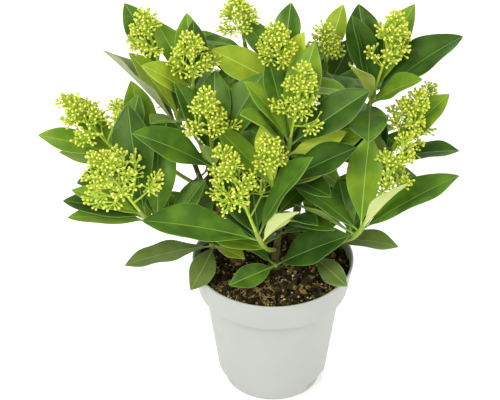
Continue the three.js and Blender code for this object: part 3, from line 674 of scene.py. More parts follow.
# The shorter leaves lower down the shoots.
lowerRule = {"turns": 10, "drop": 14, "step": 5, "deepest": 0.85, "rise": 46, "lowest": -8,
             "riseSpread": (-8, 8), "shortest": 46, "longest": 68, "reach": 0.72,
             "lowestPlace": 145, "behind": 25, "endOn": 0.97, "perShoot": 7, "tries": 26,
             "swings": 10, "offSoil": 4, "offRim": 2, "overRim": 1, "curtain": 106}


# Shape that a leaf's own dice gives it, and what its look changes. Faces turn a little to the front.
def leafForm(dice, toward, look=""):
    facing = math.cos(math.radians(toward))
    form = {
        "widthShare": leafRule["width"] * dice.between(*leafRule["widthSpread"]),
        "bend": leafRule["bend"] * dice.between(*leafRule["bendSpread"]),
        "fold": leafRule["fold"] * dice.between(*leafRule["foldSpread"]),
        "roll": dice.between(*leafRule["rollSpread"]) + leafRule["frontRoll"] * facing,
        "look": look,
    }
    side = 1 if facing > 0 else -1
    if "folded" in look:
        form["fold"] = leafRule["foldedFold"]
    if "open" in look:
        form["roll"] += leafRule["openRoll"] * side
    if "level" in look:
        form["roll"] = 0
    if "edge" in look:
        form["roll"] = -leafRule["edgeRoll"] * side
    return form


# The leaves that have a place of their own in a shoot's list.
def placedLeaves(shoot, group="leaves"):
    leaves = []
    for index, (toward, rise, length, drop, *look) in enumerate(shoot.get(group, [])):
        seed = shoot["seed"] + index + seeds.get(group, 0)
        leaves.append({"toward": toward, "rise": rise, "length": length, "drop": drop, "seed": seed,
                       **leafForm(Dice(seed), toward, *look)})
    return leaves


crown = {"centre": (-10, 18, 110), "radii": (196, 150, 232), "drop": 70}


# The crown is a dome over the pot that reaches a little below the rim.
def insideCrown(point, share=1):
    x, y, z = (point[axis] - crown["centre"][axis] for axis in range(3))
    high = z / crown["radii"][2] if z > 0 else z / crown["drop"]
    return (x / crown["radii"][0]) ** 2 + (y / crown["radii"][1]) ** 2 + high ** 2 < share ** 2


alongLeaf = (0.25, 0.45, 0.65, 0.85, 1)


# True for a leaf that would hang in one of the openings, or point straight at the viewer.
def isInOpening(leaf):
    way = direction(leaf["toward"], leaf["rise"])
    if -way.dot(sight) > lowerRule["endOn"]:
        return True
    for opening in openings:
        for share in alongLeaf:
            off = leaf["base"] + way * (leaf["length"] * share) - Vector(opening["at"])
            off -= sight * off.dot(sight)
            if off.length < opening["radius"] + leafHalfWidth(leaf, share):
                return True
    return False


# The angle between two directions, from 0 to 180.
def turnBetween(one, other):
    return abs((one - other + 540) % 360 - 180)


# A direction at an angle round a shoot, steep towards its axis, with its toward and rise.
def dealtWay(shoot, around, steep):
    way = raised(awayFrom(shoot["axis"], around), shoot["axis"], steep)
    return way, math.degrees(math.atan2(way.y, way.x)), math.degrees(math.asin(way.z))


# Leaves by the golden angle, in the gaps between those that have a place of their own.
def ruledLeaves(shoot):
    wanted = shoot.get("count", leafRule["perShoot"]) - len(shoot["leaves"])
    leaves = []
    for i in range(leafRule["turns"]):
        if len(leaves) >= wanted:
            break
        seed = shoot["seed"] + seeds["ruled"] + i
        dice = Dice(seed)
        around = int(shoot["name"]) * leafRule["firstTurn"] + i * goldenAngle
        around += dice.between(*leafRule["turnSpread"])
        steep = leafRule["innerRise"] - leafRule["riseStep"] * i + dice.between(*leafRule["riseSpread"])
        length = dice.between(leafRule["shortest"], leafRule["longest"])
        way, toward, rise = dealtWay(shoot, around, steep)
        facesFront = abs(toward + 90) < leafRule["openFront"] and rise > leafRule["openRise"]
        if facesFront or rise < lowerRule["lowest"]:
            continue
        if not insideCrown(Vector(shoot["node"]) + way * length):
            continue
        if any(turnBetween(leaf[0], toward) < leafRule["turnApart"] for leaf in shoot["leaves"]):
            continue
        drop = leafRule["drop"] * (1 + len(leaves))
        leaves.append({"toward": toward, "rise": rise, "length": length, "drop": drop, "seed": seed,
                       **leafForm(dice, toward)})
    return leaves


# Shorter leaves that may sit lower down a shoot, in the inner part of the crown.
def lowerLeaves(shoot, count):
    leaves = []
    for i in range(count):
        seed = shoot["seed"] + seeds["lower"] + i
        dice = Dice(seed)
        around = int(shoot["name"]) * leafRule["firstTurn"] + (i + 0.5) * goldenAngle
        around += dice.between(*leafRule["turnSpread"])
        steep = lowerRule["rise"] - leafRule["riseStep"] * i + dice.between(*lowerRule["riseSpread"])
        _, toward, rise = dealtWay(shoot, around, steep)
        length = dice.between(lowerRule["shortest"], lowerRule["longest"])
        drop = lowerRule["drop"] + lowerRule["step"] * i
        leaf = {"toward": toward, "rise": rise, "length": length, "drop": drop, "seed": seed,
                **leafForm(dice, toward)}
        place = swung(shoot, leaf, *swings[0])["base"]
        isHigh = place.z > lowerRule["lowestPlace"] or place.y > lowerRule["behind"]
        if isHigh and rise > lowerRule["lowest"] and drop < shoot["reach"] * lowerRule["deepest"]:
            leaves.append(leaf)
    return leaves


# What is tried in turn to keep a leaf clear of others: more toward, more rise, and a scale.
swings = [
    (0, 0, 1), (8, 0, 1), (-8, 0, 1), (0, 8, 1), (0, -8, 1),
    (14, 8, 1), (-14, 8, 1), (14, -8, 1), (-14, -8, 1),
    (0, 0, 0.85), (22, 0, 0.9), (-22, 0, 0.9), (0, 16, 0.9), (0, -16, 0.9),
    (30, 12, 0.8), (-30, 12, 0.8),
]


# A leaf after a swing, with its width and its foot on the shoot.
def swung(shoot, leaf, turnBy, riseBy, scale):
    length = leaf["length"] * scale
    share = max(leafRule["lowestFoot"], 1 - leaf["drop"] / shoot["reach"])
    return {**leaf, "length": length, "width": length * leaf["widthShare"],
            "toward": leaf["toward"] + turnBy, "rise": leaf["rise"] + riseBy,
            "base": onCurve(shoot["way"], share)[0]}


# Half the width at a share of the length: a thin stalk, then an oval blade that ends in a point.
def leafHalfWidth(leaf, share):
    if share <= leafRule["stalkShare"]:
        return leafRule["stalkHalfWidth"]
    along = (share - leafRule["stalkShare"]) / (1 - leafRule["stalkShare"])
    oval = abs(math.sin(math.pi * along ** leafRule["widest"])) ** leafRule["fullness"]
    pointed = max(0, along - leafRule["pointFrom"]) / (1 - leafRule["pointFrom"])
    half = leaf["width"] / 2 * oval * (1 - leafRule["point"] * pointed ** 2)
    return max(leafRule["stalkHalfWidth"] if along < 0.5 else leafRule["tipHalfWidth"], half)


# The leaf's midrib bends as an arc whose chord has the leaf's direction and length.
def leafArc(leaf):
    chord = direction(leaf["toward"], leaf["rise"])
    side = direction(leaf["toward"] - 90, 0)
    side.rotate(Matrix.Rotation(math.radians(leaf["roll"]), 3, chord))
    above = side.cross(chord)
    ahead = raised(chord, above, leaf["bend"] / 2)
    above = raised(above, chord, -leaf["bend"] / 2)
    bend = math.radians(leaf["bend"])
    arc = leaf["length"] * bend / 2 / math.sin(bend / 2)

    def at(share):
        middle = leaf["base"] + ahead * (arc * math.sin(bend * share) / bend)
        middle -= above * (arc * (1 - math.cos(bend * share)) / bend)
        return middle, raised(above, ahead, leaf["bend"] * share)

    return at, side


# The swing that the CAD solid of the shoot shows for a leaf, or none where it has no such leaf.
def leafInSolid(shoot, leaf):
    for swing in swings:
        tried = swung(shoot, leaf, *swing)
        at, _ = leafArc(tried)
        tip, middle = at(1)[0], at(nearness["middleShare"])[0]
        if farFrom(shoot, tip) < nearness["tip"] and farFrom(shoot, middle) < nearness["middle"]:
            return tried
    return None


# Thicknesses are in millimetres. Edges and margins are shares of the blade's half width.
blade = {"rows": 26, "rowCrowding": 1.2, "stalkRows": 3, "columns": 3, "thickness": 0.42,
         "edgeShare": 0.62, "bladeFrom": 0.085, "blend": 0.09, "rib": 0.42, "ribTaper": (1.15, 0.6),
         "widestRib": 0.45, "ribSlack": 1.01, "ribDepth": 0.8, "depthTaper": (1.2, 0.8),
         "ribFoot": 1.6, "ridge": 0.18, "margin": 0.28, "widestMargin": 0.6, "arch": 0.55,
         "wave": 0.1, "waves": (1.2, 2.4), "veinStep": 8.5, "veinSlant": 0.9, "veinLift": 0.17,
         "stalkAbove": 0.75, "stalkBelow": 0.85, "stalkEdge": 0.03}


# A closed blade: a grid above, a grid below and a strip round both. Its faces are numbered
# 0 above, 1 below and 2 along the midrib, the stalk and the margin.
def addBlade(pile, leaf):
    at, side = leafArc(leaf)
    dice = Dice(leaf["seed"] + seeds["blade"])
    phases = (dice.between(0, 1), dice.between(0, 1))
    waves = dice.between(*blade["waves"])
    stalk = leafRule["stalkShare"]
    rows = [stalk * i / blade["stalkRows"] for i in range(blade["stalkRows"])]
    rows += [stalk + (1 - stalk) * (1 - (1 - i / blade["rows"]) ** blade["rowCrowding"])
             for i in range(blade["rows"] + 1)]
    fold = math.radians(leaf["fold"])
    over, under, tints = [], [], []
    for share in rows:
        middle, normal = at(share)
        half = leafHalfWidth(leaf, share)
        bladed = min(1, max(0, (share - blade["bladeFrom"]) / blade["blend"]))  # 0 on the stalk
        ribHalf = blade["rib"] * (blade["ribTaper"][0] - blade["ribTaper"][1] * share)
        ribEdge = min(blade["widestRib"], ribHalf / half)
        marginEdge = max(blade["widestMargin"], 1 - blade["margin"] / half)
        steps = [ribEdge + (marginEdge - ribEdge) * k / blade["columns"]
                 for k in range(blade["columns"] + 1)]
        ribDepth = blade["ribDepth"] * (blade["depthTaper"][0] - blade["depthTaper"][1] * share)
        places = [-1] + [-step for step in reversed(steps)] + [0] + steps + [1]
        for place in places:
            size = abs(place)
            spread = max(size, ribEdge)
            lift = half * math.sin(fold) * spread * (1 + blade["arch"] * (1 - spread) * bladed)
            wave = math.sin(2 * math.pi * (waves * share + phases[place < 0]))
            lift += blade["wave"] * half * wave * size ** 2 * bladed
            vein = (share * leaf["length"] - half * size * blade["veinSlant"]) / blade["veinStep"]
            veined = math.cos(2 * math.pi * vein) * math.sin(math.pi * size)
            lift += blade["veinLift"] * veined * bladed
            thick = blade["thickness"] * (blade["edgeShare"] if size == 1 else 1)
            ribbed = max(0, 1 - size / (ribEdge * blade["ribFoot"])) * ribDepth
            ridge = blade["ridge"] if size < ribEdge * blade["ribSlack"] else 0
            stalkHigh = (1 - bladed) * leafRule["stalkHalfWidth"]
            stalkHigh *= math.sqrt(max(blade["stalkEdge"], 1 - size ** 2))
            top = lift + stalkHigh * blade["stalkAbove"] + bladed * (thick / 2 + ridge)
            low = lift - stalkHigh * blade["stalkBelow"] - bladed * (thick / 2 + ribbed)
            flat = middle + side * (half * place * math.cos(fold))
            over.append(flat + normal * top)
            under.append(flat + normal * low)
    wide = 2 * blade["columns"] + 5  # points across
    base = len(over)
    faces = []
    for i in range(len(rows) - 1):
        for k in range(wide - 1):
            a, b = i * wide + k, (i + 1) * wide + k
            isLine = k in (0, wide - 2) or k in (wide // 2 - 1, wide // 2) or i < blade["stalkRows"]
            faces.append((a, a + 1, b + 1, b))
            tints.append(2 if isLine else 0)
            faces.append((base + b, base + b + 1, base + a + 1, base + a))
            tints.append(2 if isLine else 1)
    loop = list(range(wide)) + [i * wide + wide - 1 for i in range(1, len(rows))]
    loop += [(len(rows) - 1) * wide + k for k in range(wide - 2, -1, -1)]
    loop += [i * wide for i in range(len(rows) - 2, 0, -1)]
    for one, other in zip(loop, loop[1:] + loop[:1]):
        faces.append((one, base + one, base + other, other))
        tints.append(2)
    pile.add(over + under, faces, tints)


leafPiles = {name: Pile() for name in leafTints}
leafDeal = ("dark", "mid", "deep", "deep", "mid")  # tints of the leaves whose look names none
leafShapes = []
upInView = Vector((0, 0.59, 0.81))  # up as seen from the front and above

# A head's side twigs with a knob at each end, and the space that leaves keep out of.
headRule = {"knobs": 7, "knobRadius": 5.6, "foot": 0.12, "top": 0.82, "tip": 0.96,
            "riseLow": 24, "riseHigh": 70, "turns": (0, 24, -24, 48, -48),
            "turnSpread": (-14, 14), "riseSpread": (-6, 6), "lengthSpread": (0.85, 1.1),
            "longest": 1.02, "lengthLoss": 0.7,
            "spaceFrom": 0.1, "spaceTo": 1.06, "spaceWidth": 1.04, "spaceLoss": 0.55}


# True for a point in the space of a flower head.
def inHead(point):
    for shoot in shoots:
        off = point - Vector(shoot["node"])
        along = off.dot(shoot["axis"])
        share = along / shoot["head"]
        if headRule["spaceFrom"] < share < headRule["spaceTo"]:
            width = headRule["spaceWidth"] - headRule["spaceLoss"] * share
            width *= shoot["head"] * shoot["spread"]
            if (off - shoot["axis"] * along).length < width:
                return True
    return False


# True for a leaf that is clear of the soil, the pot, the heads and the leaves grown so far, and
# that hangs no lower in the view than the curtain.
def isClear(pile, solid, low, high):
    outer = pile.points[len(pile.points) // 20:]  # all but the foot of the stalk
    if low[2] < soil["top"] + lowerRule["offSoil"] or any(inHead(point) for point in outer[::7]):
        return False
    for point in outer[::9]:
        isOverPot = math.hypot(point.x, point.y) < pot["rimRadius"] + lowerRule["offRim"]
        if isOverPot and point.z < pot["height"] + lowerRule["overRim"]:
            return False
        if point.dot(upInView) < lowerRule["curtain"]:
            return False
    for other, otherLow, otherHigh in leafShapes:
        isNear = all(low[k] < otherHigh[k] and otherLow[k] < high[k] for k in range(3))
        if isNear and solid.overlap(other):
            return False
    return True


# Adds a leaf to the pile of its tint. A careful one has to be clear of all else.
def growLeaf(shoot, leaf, careful):
    pile = Pile()
    addBlade(pile, leaf)
    low = [min(point[axis] for point in pile.points) for axis in range(3)]
    high = [max(point[axis] for point in pile.points) for axis in range(3)]
    solid = BVHTree.FromPolygons(pile.points, pile.faces)
    if careful and not isClear(pile, solid, low, high):
        return False
    chosen = leafDeal[int(len(leafDeal) * Dice(leaf["seed"] + seeds["tint"]).roll())]
    for word in leaf["look"].split():
        chosen = word if word in leafTints else chosen
    leafPiles[chosen].add(pile.points, pile.faces, pile.tints)
    leafShapes.append((solid, low, high))
    shoot["grown"].append(leaf)
    return True


# The leaves of the solids again, but for dealt ones in an opening.
for shoot in shoots + tufts:
    shoot["grown"] = []
    placed, ruled = placedLeaves(shoot), ruledLeaves(shoot)
    if "head" in shoot:
        ruled += lowerLeaves(shoot, lowerRule["turns"])
    for leaf in placed + ruled:
        found = leafInSolid(shoot, leaf)
        if found and (leaf in placed or not isInOpening(found)):
            growLeaf(shoot, found, False)
print("leaves of the solids:", len(leafShapes))

# More leaves lower down each shoot, where there is room between those of the solids.
for shoot in shoots:
    added = 0
    for leaf in placedLeaves(shoot, "more"):
        growLeaf(shoot, swung(shoot, leaf, *swings[0]), True)
    for leaf in lowerLeaves(shoot, lowerRule["tries"]):
        isGrown = any(leaf["seed"] == other["seed"] for other in shoot["grown"])
        if added == lowerRule["perShoot"] or isGrown:
            continue
        for swing in swings[:lowerRule["swings"]]:
            tried = swung(shoot, leaf, *swing)
            tip = tried["base"] + direction(tried["toward"], tried["rise"]) * tried["length"]
            isAllowed = insideCrown(tip, lowerRule["reach"]) and not isInOpening(tried)
            if isAllowed and growLeaf(shoot, tried, True):
                added += 1
                break
print("leaves:", len(leafShapes))
for name, pile in leafPiles.items():
    piece = makePiece(name + "Leaves", pile, leafFinishes(name))
    settle(piece, shootNodes + tuftNodes)
    print(piece.name, len(piece.data.polygons), "faces")

# All blades in one tree, to keep the flower heads clear of them.
allLeaves = Pile()
for pile in leafPiles.values():
    allLeaves.add(pile.points, pile.faces, 0)
leafTree = BVHTree.FromPolygons(allLeaves.points, allLeaves.faces)


# Root, direction and length of a head's side twig. The solids have those with a whole index.
def headTwig(shoot, index, turnBy):
    dice = Dice(shoot["seed"] + seeds["twig"] + int(index) + (seeds["halfTwig"] if index % 1 else 0))
    share = (index + 0.5) / headRule["knobs"]
    along = headRule["foot"] + (headRule["top"] - headRule["foot"]) * share
    around = index * goldenAngle + dice.between(*headRule["turnSpread"]) + turnBy
    rise = headRule["riseLow"] + (headRule["riseHigh"] - headRule["riseLow"]) * share
    rise += dice.between(*headRule["riseSpread"])
    length = shoot["head"] * shoot["spread"] * (headRule["longest"] - headRule["lengthLoss"] * share)
    length *= dice.between(*headRule["lengthSpread"])
    root = Vector(shoot["node"]) + shoot["axis"] * (shoot["head"] * along)
    return root, raised(awayFrom(shoot["axis"], around), shoot["axis"], rise), length


# A head's twig as the CAD solid has it, or none where the solid has no such twig.
def twigInSolid(shoot, index):
    for turnBy in headRule["turns"]:
        root, way, length = headTwig(shoot, index, turnBy)
        if farFrom(shoot, root + way * (length + headRule["knobRadius"])) < nearness["tip"]:
            return root, way, length
    return None


# The buds' and stalks' sizes, and how buds sit on a twig. A cyme is a twig's bunch of buds. Buds are
# looked up by cells, which are a little wider than the gap between buds.
flowers = {"budSize": (2.0, 2.5), "budGap": 2.5, "leafGap": 0.4, "cell": 3,
           "pedicel": (3.8, 7.2), "pedicelRadii": [0.42, 0.4, 0.6], "pedicelBow": 0.25,
           "pedicelEnd": 0.4, "lastPedicel": 0.75, "firstPedicel": 1.15, "pedicelLoss": 0.35,
           "bareShare": 0.5, "stagger": 0.6, "turnSpread": (-20, 20), "rise": 22, "riseGain": 44,
           "riseSpread": (-9, 9), "bow": 0.06, "bowShares": (0, 0.25, 0.5, 0.75, 1),
           "stalkBase": 0.85, "stalkTip": 0.55, "axisBase": 1.5, "axisTip": 0.7, "axisTaper": 0.7,
           "axisSink": 3, "axisSteps": 8}

# The cymes of a head: on each twig, on two branches of a long one, and on top.
cymes = {"reach": 1.12, "halfTwigReach": 0.88, "perTwig": 14, "leastShare": 0.75,
         "lengthGain": 0.35, "commonLength": 22, "branchedFrom": 12, "branchSpread": (-40, 40),
         "branchPlace": 0.42, "branchStep": 0.16, "branchLength": 0.5, "branchLoss": 0.1,
         "branchRise": 44, "branchRiseSpread": (-8, 8), "perBranch": 6, "topFoot": 0.8,
         "topLength": 0.16, "perTop": 12}
stalkPoints, stalkEdges, stalkRadii = [], [], []
budPoints, budWays, budSizes = [], [], []
budCells = {}


# A stalk through points, with a radius in millimetres at each.
def addStalk(points, radii):
    start = len(stalkPoints)
    stalkPoints.extend(points)
    stalkEdges.extend((start + i, start + i + 1) for i in range(len(points) - 1))
    stalkRadii.extend(radius * mm for radius in radii)


# True where a leaf stands in the straight way from one point to another.
def leafBetween(one, other):
    way = other - one
    return leafTree.ray_cast(one, way.normalized(), way.length)[0] is not None


# A bud keeps its place if it is clear of leaves and of the buds in the cells round it.
def isFree(place, size):
    if leafTree.find_nearest(place, size / 2 + flowers["leafGap"])[0] is not None:
        return False
    cell = tuple(int(part // flowers["cell"]) for part in place)
    for step in product((-1, 0, 1), repeat=3):
        near = tuple(part + by for part, by in zip(cell, step))
        if any((other - place).length < flowers["budGap"] for other in budCells.get(near, ())):
            return False
    budCells.setdefault(cell, []).append(place)
    return True


# Buds on short stalks round the outer part of a twig, the last one on its very end.
def addCyme(base, way, length, dice, count):
    bow = awayFrom(way, dice.between(0, 360)) * length * flowers["bow"]

    def onTwig(share):
        return base + way * (length * share) + bow * math.sin(math.pi * share)

    grown = 0
    for k in range(count):
        isLast = k == count - 1
        share = 1
        if not isLast:
            share = (1 - flowers["bareShare"]) * (k + flowers["stagger"]) / count
            share = flowers["bareShare"] + share
        outward = awayFrom(way, k * goldenAngle + dice.between(*flowers["turnSpread"]))
        rise = 90
        if not isLast:
            rise = flowers["rise"] + flowers["riseGain"] * k / count
            rise += dice.between(*flowers["riseSpread"])
        stalk = flowers["firstPedicel"] - flowers["pedicelLoss"] * k / count
        stalk = dice.between(*flowers["pedicel"]) * (flowers["lastPedicel"] if isLast else stalk)
        size = dice.between(*flowers["budSize"])
        root = onTwig(share)
        heading = raised(outward, way, rise)
        end = root + heading * stalk
        centre = end + heading * (size / 2)
        if leafBetween(root, end) or not isFree(centre, size):
            continue
        addStalk([root, root.lerp(end, 0.5) + way * flowers["pedicelBow"],
                  end + heading * flowers["pedicelEnd"]], flowers["pedicelRadii"])
        budPoints.append(centre)
        budWays.extend(heading)
        budSizes.append(size * mm)
        grown += 1
    if grown:
        addStalk([onTwig(share) for share in flowers["bowShares"]],
                 [flowers["stalkBase"] + (flowers["stalkTip"] - flowers["stalkBase"]) * share
                  for share in flowers["bowShares"]])


# Two branches from opposite sides of a long twig, each with a cyme of its own.
def addBranches(root, way, length, dice):
    for k in range(2):
        outward = awayFrom(way, 90 + 180 * k + dice.between(*cymes["branchSpread"]))
        start = root + way * length * (cymes["branchPlace"] + cymes["branchStep"] * k)
        branch = length * (cymes["branchLength"] - cymes["branchLoss"] * k)
        heading = raised(outward, way, cymes["branchRise"] + dice.between(*cymes["branchRiseSpread"]))
        if not leafBetween(start, start + heading * branch):
            addCyme(start, heading, branch, dice, cymes["perBranch"])


for shoot in shoots:
    node, axis, head = Vector(shoot["node"]), shoot["axis"], shoot["head"]
    first = len(budPoints)
    for index in range(headRule["knobs"] * 2):
        isHalf = index % 2 == 1  # a twig between two of the solid's
        found = None if isHalf else twigInSolid(shoot, index // 2)
        root, way, length = found or headTwig(shoot, index / 2, 0)
        length *= cymes["reach"] * (cymes["halfTwigReach"] if isHalf else 1)
        if leafBetween(root, root + way * length):
            continue
        dice = Dice(shoot["seed"] + seeds["cyme"] + index)
        fullness = cymes["leastShare"] + cymes["lengthGain"] * length / cymes["commonLength"]
        addCyme(root, way, length, dice, round(cymes["perTwig"] * fullness))
        if length > cymes["branchedFrom"]:
            addBranches(root, way, length, dice)
    topFoot = node + axis * (head * cymes["topFoot"])
    addCyme(topFoot, axis, head * cymes["topLength"], Dice(shoot["seed"] + seeds["topCyme"]),
            cymes["perTop"])
    sunk = axis * flowers["axisSink"]
    axisTop = node + axis * (head * headRule["tip"])
    shares = [i / flowers["axisSteps"] for i in range(flowers["axisSteps"] + 1)]
    thinning = flowers["axisTip"] - flowers["axisBase"]
    addStalk([node - sunk + (axisTop - node + sunk) * share for share in shares],
             [flowers["axisBase"] + thinning * share ** flowers["axisTaper"] for share in shares])
    print("head", shoot["name"], len(budPoints) - first, "buds")

budGrain = {"Patch Size": 0.004, "Grain Size": 0.0006, "Grain Depth": 0.1, "Smooth": 0.38,
            "Rough": 0.52}
budGreen = finish("budGreen", tint(204, 214, 62), tint(190, 204, 50), budGrain, 0.03)
# Painted highlights on the bud tips: bright yellow, and pale cream on a share of them.
budYellowHighlight = finish("budYellowHighlight", tint(228, 224, 98), tint(220, 218, 82), budGrain, 0.03)
budCreamHighlight = finish("budCreamHighlight", tint(236, 230, 132), tint(230, 226, 112), budGrain, 0.03)
stalkGreen = finish("stalkGreen", tint(182, 204, 62), tint(164, 194, 52),
                    {"Patch Size": 0.006, "Grain Size": 0.0005, "Grain Depth": 0.12, "Smooth": 0.42,
                     "Rough": 0.56}, 0.04)

buds = makeLines("flowerBuds", budPoints, [], {
    "budWay": ("FLOAT_VECTOR", budWays), "budSize": ("FLOAT", budSizes)})
runTree(buds, budTree, {"Bud Material": budGreen, "Highlight Material": budYellowHighlight,
                        "Pale Highlight Material": budCreamHighlight})
finishMesh(buds, crease=70)
settle(buds, shootNodes)
print("flower buds:", len(budPoints), "faces", len(buds.data.polygons))

stalks = makeLines("flowerStalks", stalkPoints, stalkEdges, {"stalkRadius": ("FLOAT", stalkRadii)})
runTree(stalks, stalkTree, {"Sides": 5, "Stalk Material": stalkGreen})
finishMesh(stalks, crease=70)
settle(stalks, shootNodes)
print("flower stalks:", len(stalks.data.polygons), "faces")


# How far bark stands out or in, and how close its marks lie round and along a stem. An end gives the
# rise and size of the rings that round a tube off.
barkShape = {"swell": 0.1, "crackDepth": 0.26, "cracksRound": 1.6, "cracksAlong": 0.16,
             "crackDrift": 0.05, "wartHeight": 0.25, "wartsRound": 3, "wartsAlong": 0.9,
             "wartLevel": 0.25, "scarHeight": 0.13, "scarWidth": 0.9}
stemSet = {"sides": 20, "step": 0.9, "relief": 0.9, "scarStep": 7.5, "sink": 1.8, "footFlare": 1.08,
           "end": ((0.8, 0.92), (1.5, 0.72), (1.9, 0.4))}
boughSet = {"sides": 14, "step": 1.1, "fewest": 8, "relief": 0.5, "scarStep": 9.5}
shootSet = {"sides": 12, "step": 1.3, "fewest": 10, "relief": 0.18, "scarStep": 11,
            "jointSwell": 0.35, "jointLength": 3, "mostJoints": 1.3,
            "end": ((0.9, 0.85), (1.6, 0.55))}


# Long cracks, ring scars and small warts, as a factor on a tube's radius.
def barkRelief(tube):
    strength, scarStep = tube["relief"], tube["scarStep"]

    def drawn(centre, turn, around, along):
        return Vector((math.cos(turn) * around, math.sin(turn) * around, centre.z * along))

    def relief(centre, turn):
        ring = drawn(centre, turn, barkShape["cracksRound"], barkShape["cracksAlong"])
        drift = Vector((centre.x, centre.y, 0)) * barkShape["crackDrift"]
        cracks = abs(noise.noise(ring + drift)) * barkShape["crackDepth"]
        spot = drawn(centre, turn, barkShape["wartsRound"], barkShape["wartsAlong"])
        warts = max(0, noise.noise(spot) - barkShape["wartLevel"])
        scar = math.exp(-((centre.z / scarStep % 1 - 0.5) * scarStep / barkShape["scarWidth"]) ** 2)
        return 1 + strength * (barkShape["swell"] - cracks + barkShape["wartHeight"] * warts
                               + barkShape["scarHeight"] * scar)

    return relief


woodPile = Pile()
for stem in stems.values():
    controls = stemControls(stem)
    height = stem["top"][2] - soil["top"]
    steps = round(height / stemSet["step"])
    centres, radii = [], []
    for i in range(steps + 1):
        share = i / steps
        flare = wood["flareRadius"] * math.exp(-share * height / wood["flareHeight"])
        centres.append(onCurve(controls, share)[0])
        radii.append(stem["radius"] * (1 - wood["stemTaper"] * share) + flare)
    centres.insert(0, centres[0] - Vector((0, 0, stemSet["sink"])))
    radii.insert(0, radii[0] * stemSet["footFlare"])
    end, way = onCurve(controls, 1)
    for rise, size in stemSet["end"]:
        centres.append(end + way * rise)
        radii.append(stem["radius"] * (1 - wood["stemTaper"]) * size)
    sweep(woodPile, centres, radii, stemSet["sides"], barkRelief(stemSet))
for shoot in shoots:
    last = shoot["boughEnd"]
    steps = max(boughSet["fewest"], round(shoot["reach"] * last / boughSet["step"]))
    centres = [onCurve(shoot["way"], last * i / steps)[0] for i in range(steps + 1)]
    radii = [wood["boughBase"] + (wood["boughTip"] - wood["boughBase"]) * i / steps
             for i in range(steps + 1)]
    sweep(woodPile, centres, radii, boughSet["sides"], barkRelief(boughSet))

barkGrain = {"Patch Size": 0.012, "Patch Edge": 0.1, "Grain Size": 0.0012, "Grain Depth": 0.4,
             "Smooth": 0.6, "Rough": 0.85, "Stretch": (1.0, 1.0, 0.35)}
bark = finish("stemBark", tint(108, 84, 50), tint(82, 88, 36), barkGrain, 0.35, 0.8)
woodPiece = makePiece("stemsAndBoughs", woodPile, [bark], 60)
settle(woodPiece, list(stems) + ["bough_" + shoot["name"] for shoot in shoots])
print("wood:", len(woodPiece.data.polygons), "faces")

# Green shoots, thicker where their leaves sit.
shootPile = Pile()
for shoot in shoots + tufts:
    first = shoot["boughEnd"] if "head" in shoot else 0
    length = shoot["reach"] * (1 - first)
    steps = max(shootSet["fewest"], round(length / shootSet["step"]))
    centres, radii = [], []
    for i in range(steps + 1):
        share = i / steps
        centres.append(onCurve(shoot["way"], first + (1 - first) * share)[0])
        joints = sum(math.exp(-((1 - share) * length - leaf["drop"]) ** 2 / shootSet["jointLength"])
                     for leaf in shoot["grown"])
        radii.append(wood["shootBase"] + (wood["shootNode"] - wood["shootBase"]) * share
                     + shootSet["jointSwell"] * min(shootSet["mostJoints"], joints))
    end, way = onCurve(shoot["way"], 1)
    for rise, size in shootSet["end"]:
        centres.append(end + way * rise)
        radii.append(wood["shootNode"] * size)
    sweep(shootPile, centres, radii, shootSet["sides"], barkRelief(shootSet))
shootGreen = finish("shootGreen", tint(124, 154, 42), tint(140, 150, 50),
                    {"Patch Size": 0.01, "Grain Size": 0.0009, "Grain Depth": 0.16,
                     "Smooth": 0.45, "Rough": 0.62, "Stretch": (1.0, 1.0, 0.5)}, 0.12)
shootPiece = makePiece("greenShoots", shootPile, [shootGreen], 60)
settle(shootPiece, shootNodes + tuftNodes)
print("green shoots:", len(shootPiece.data.polygons), "faces")

# The pot's radii and heights by short names, for the compost and the pot itself.
rim, wall, collarLow = pot["rimRadius"], pot["wall"], pot["collarBottom"]
foot, heel, body = pot["footRadius"], pot["heelRadius"], pot["bodyTopRadius"]
collar, heelHigh, top = pot["collarFootRadius"], pot["heelHeight"], pot["height"]
collarSlope = (rim - collar) / (top - collarLow)

# The compost keeps the gap to the wall. It swells, has a finer grain, and is smoother at its edge.
soilSet = {"rings": 46, "sides": 120, "ringCrowding": 0.8, "gap": 0.4, "sink": 0.6, "swell": 2.6,
           "swellScale": 0.045, "grain": 1.7, "grainScale": 0.26, "edgeFrom": 0.75,
           "edgeGrowth": 9, "edgeRough": 0.15}
soilRadius = (collar - wall + collarSlope * (soil["top"] - soil["edgeDrop"] - collarLow)
              - soilSet["gap"])


def soilHeight(x, y):
    reach = math.hypot(x, y) / soilRadius
    swell = soilSet["swell"] * noise.noise(Vector((x, y, 3)) * soilSet["swellScale"])
    grain = soilSet["grain"] * noise.fractal(Vector((x, y, 9)) * soilSet["grainScale"], 1.0, 2.0, 3)
    drop = max(0, reach - soilSet["edgeFrom"]) / (1 - soilSet["edgeFrom"])
    drop = soil["edgeDrop"] * drop ** 2
    rough = min(1, (1 - reach) * soilSet["edgeGrowth"] + soilSet["edgeRough"])
    return soil["top"] - soilSet["sink"] - drop + (swell + grain) * rough


# Places all round at a radius, as x and y.
def roundAt(radius, count):
    turns = [2 * math.pi * k / count for k in range(count)]
    return [(radius * math.cos(turn), radius * math.sin(turn)) for turn in turns]


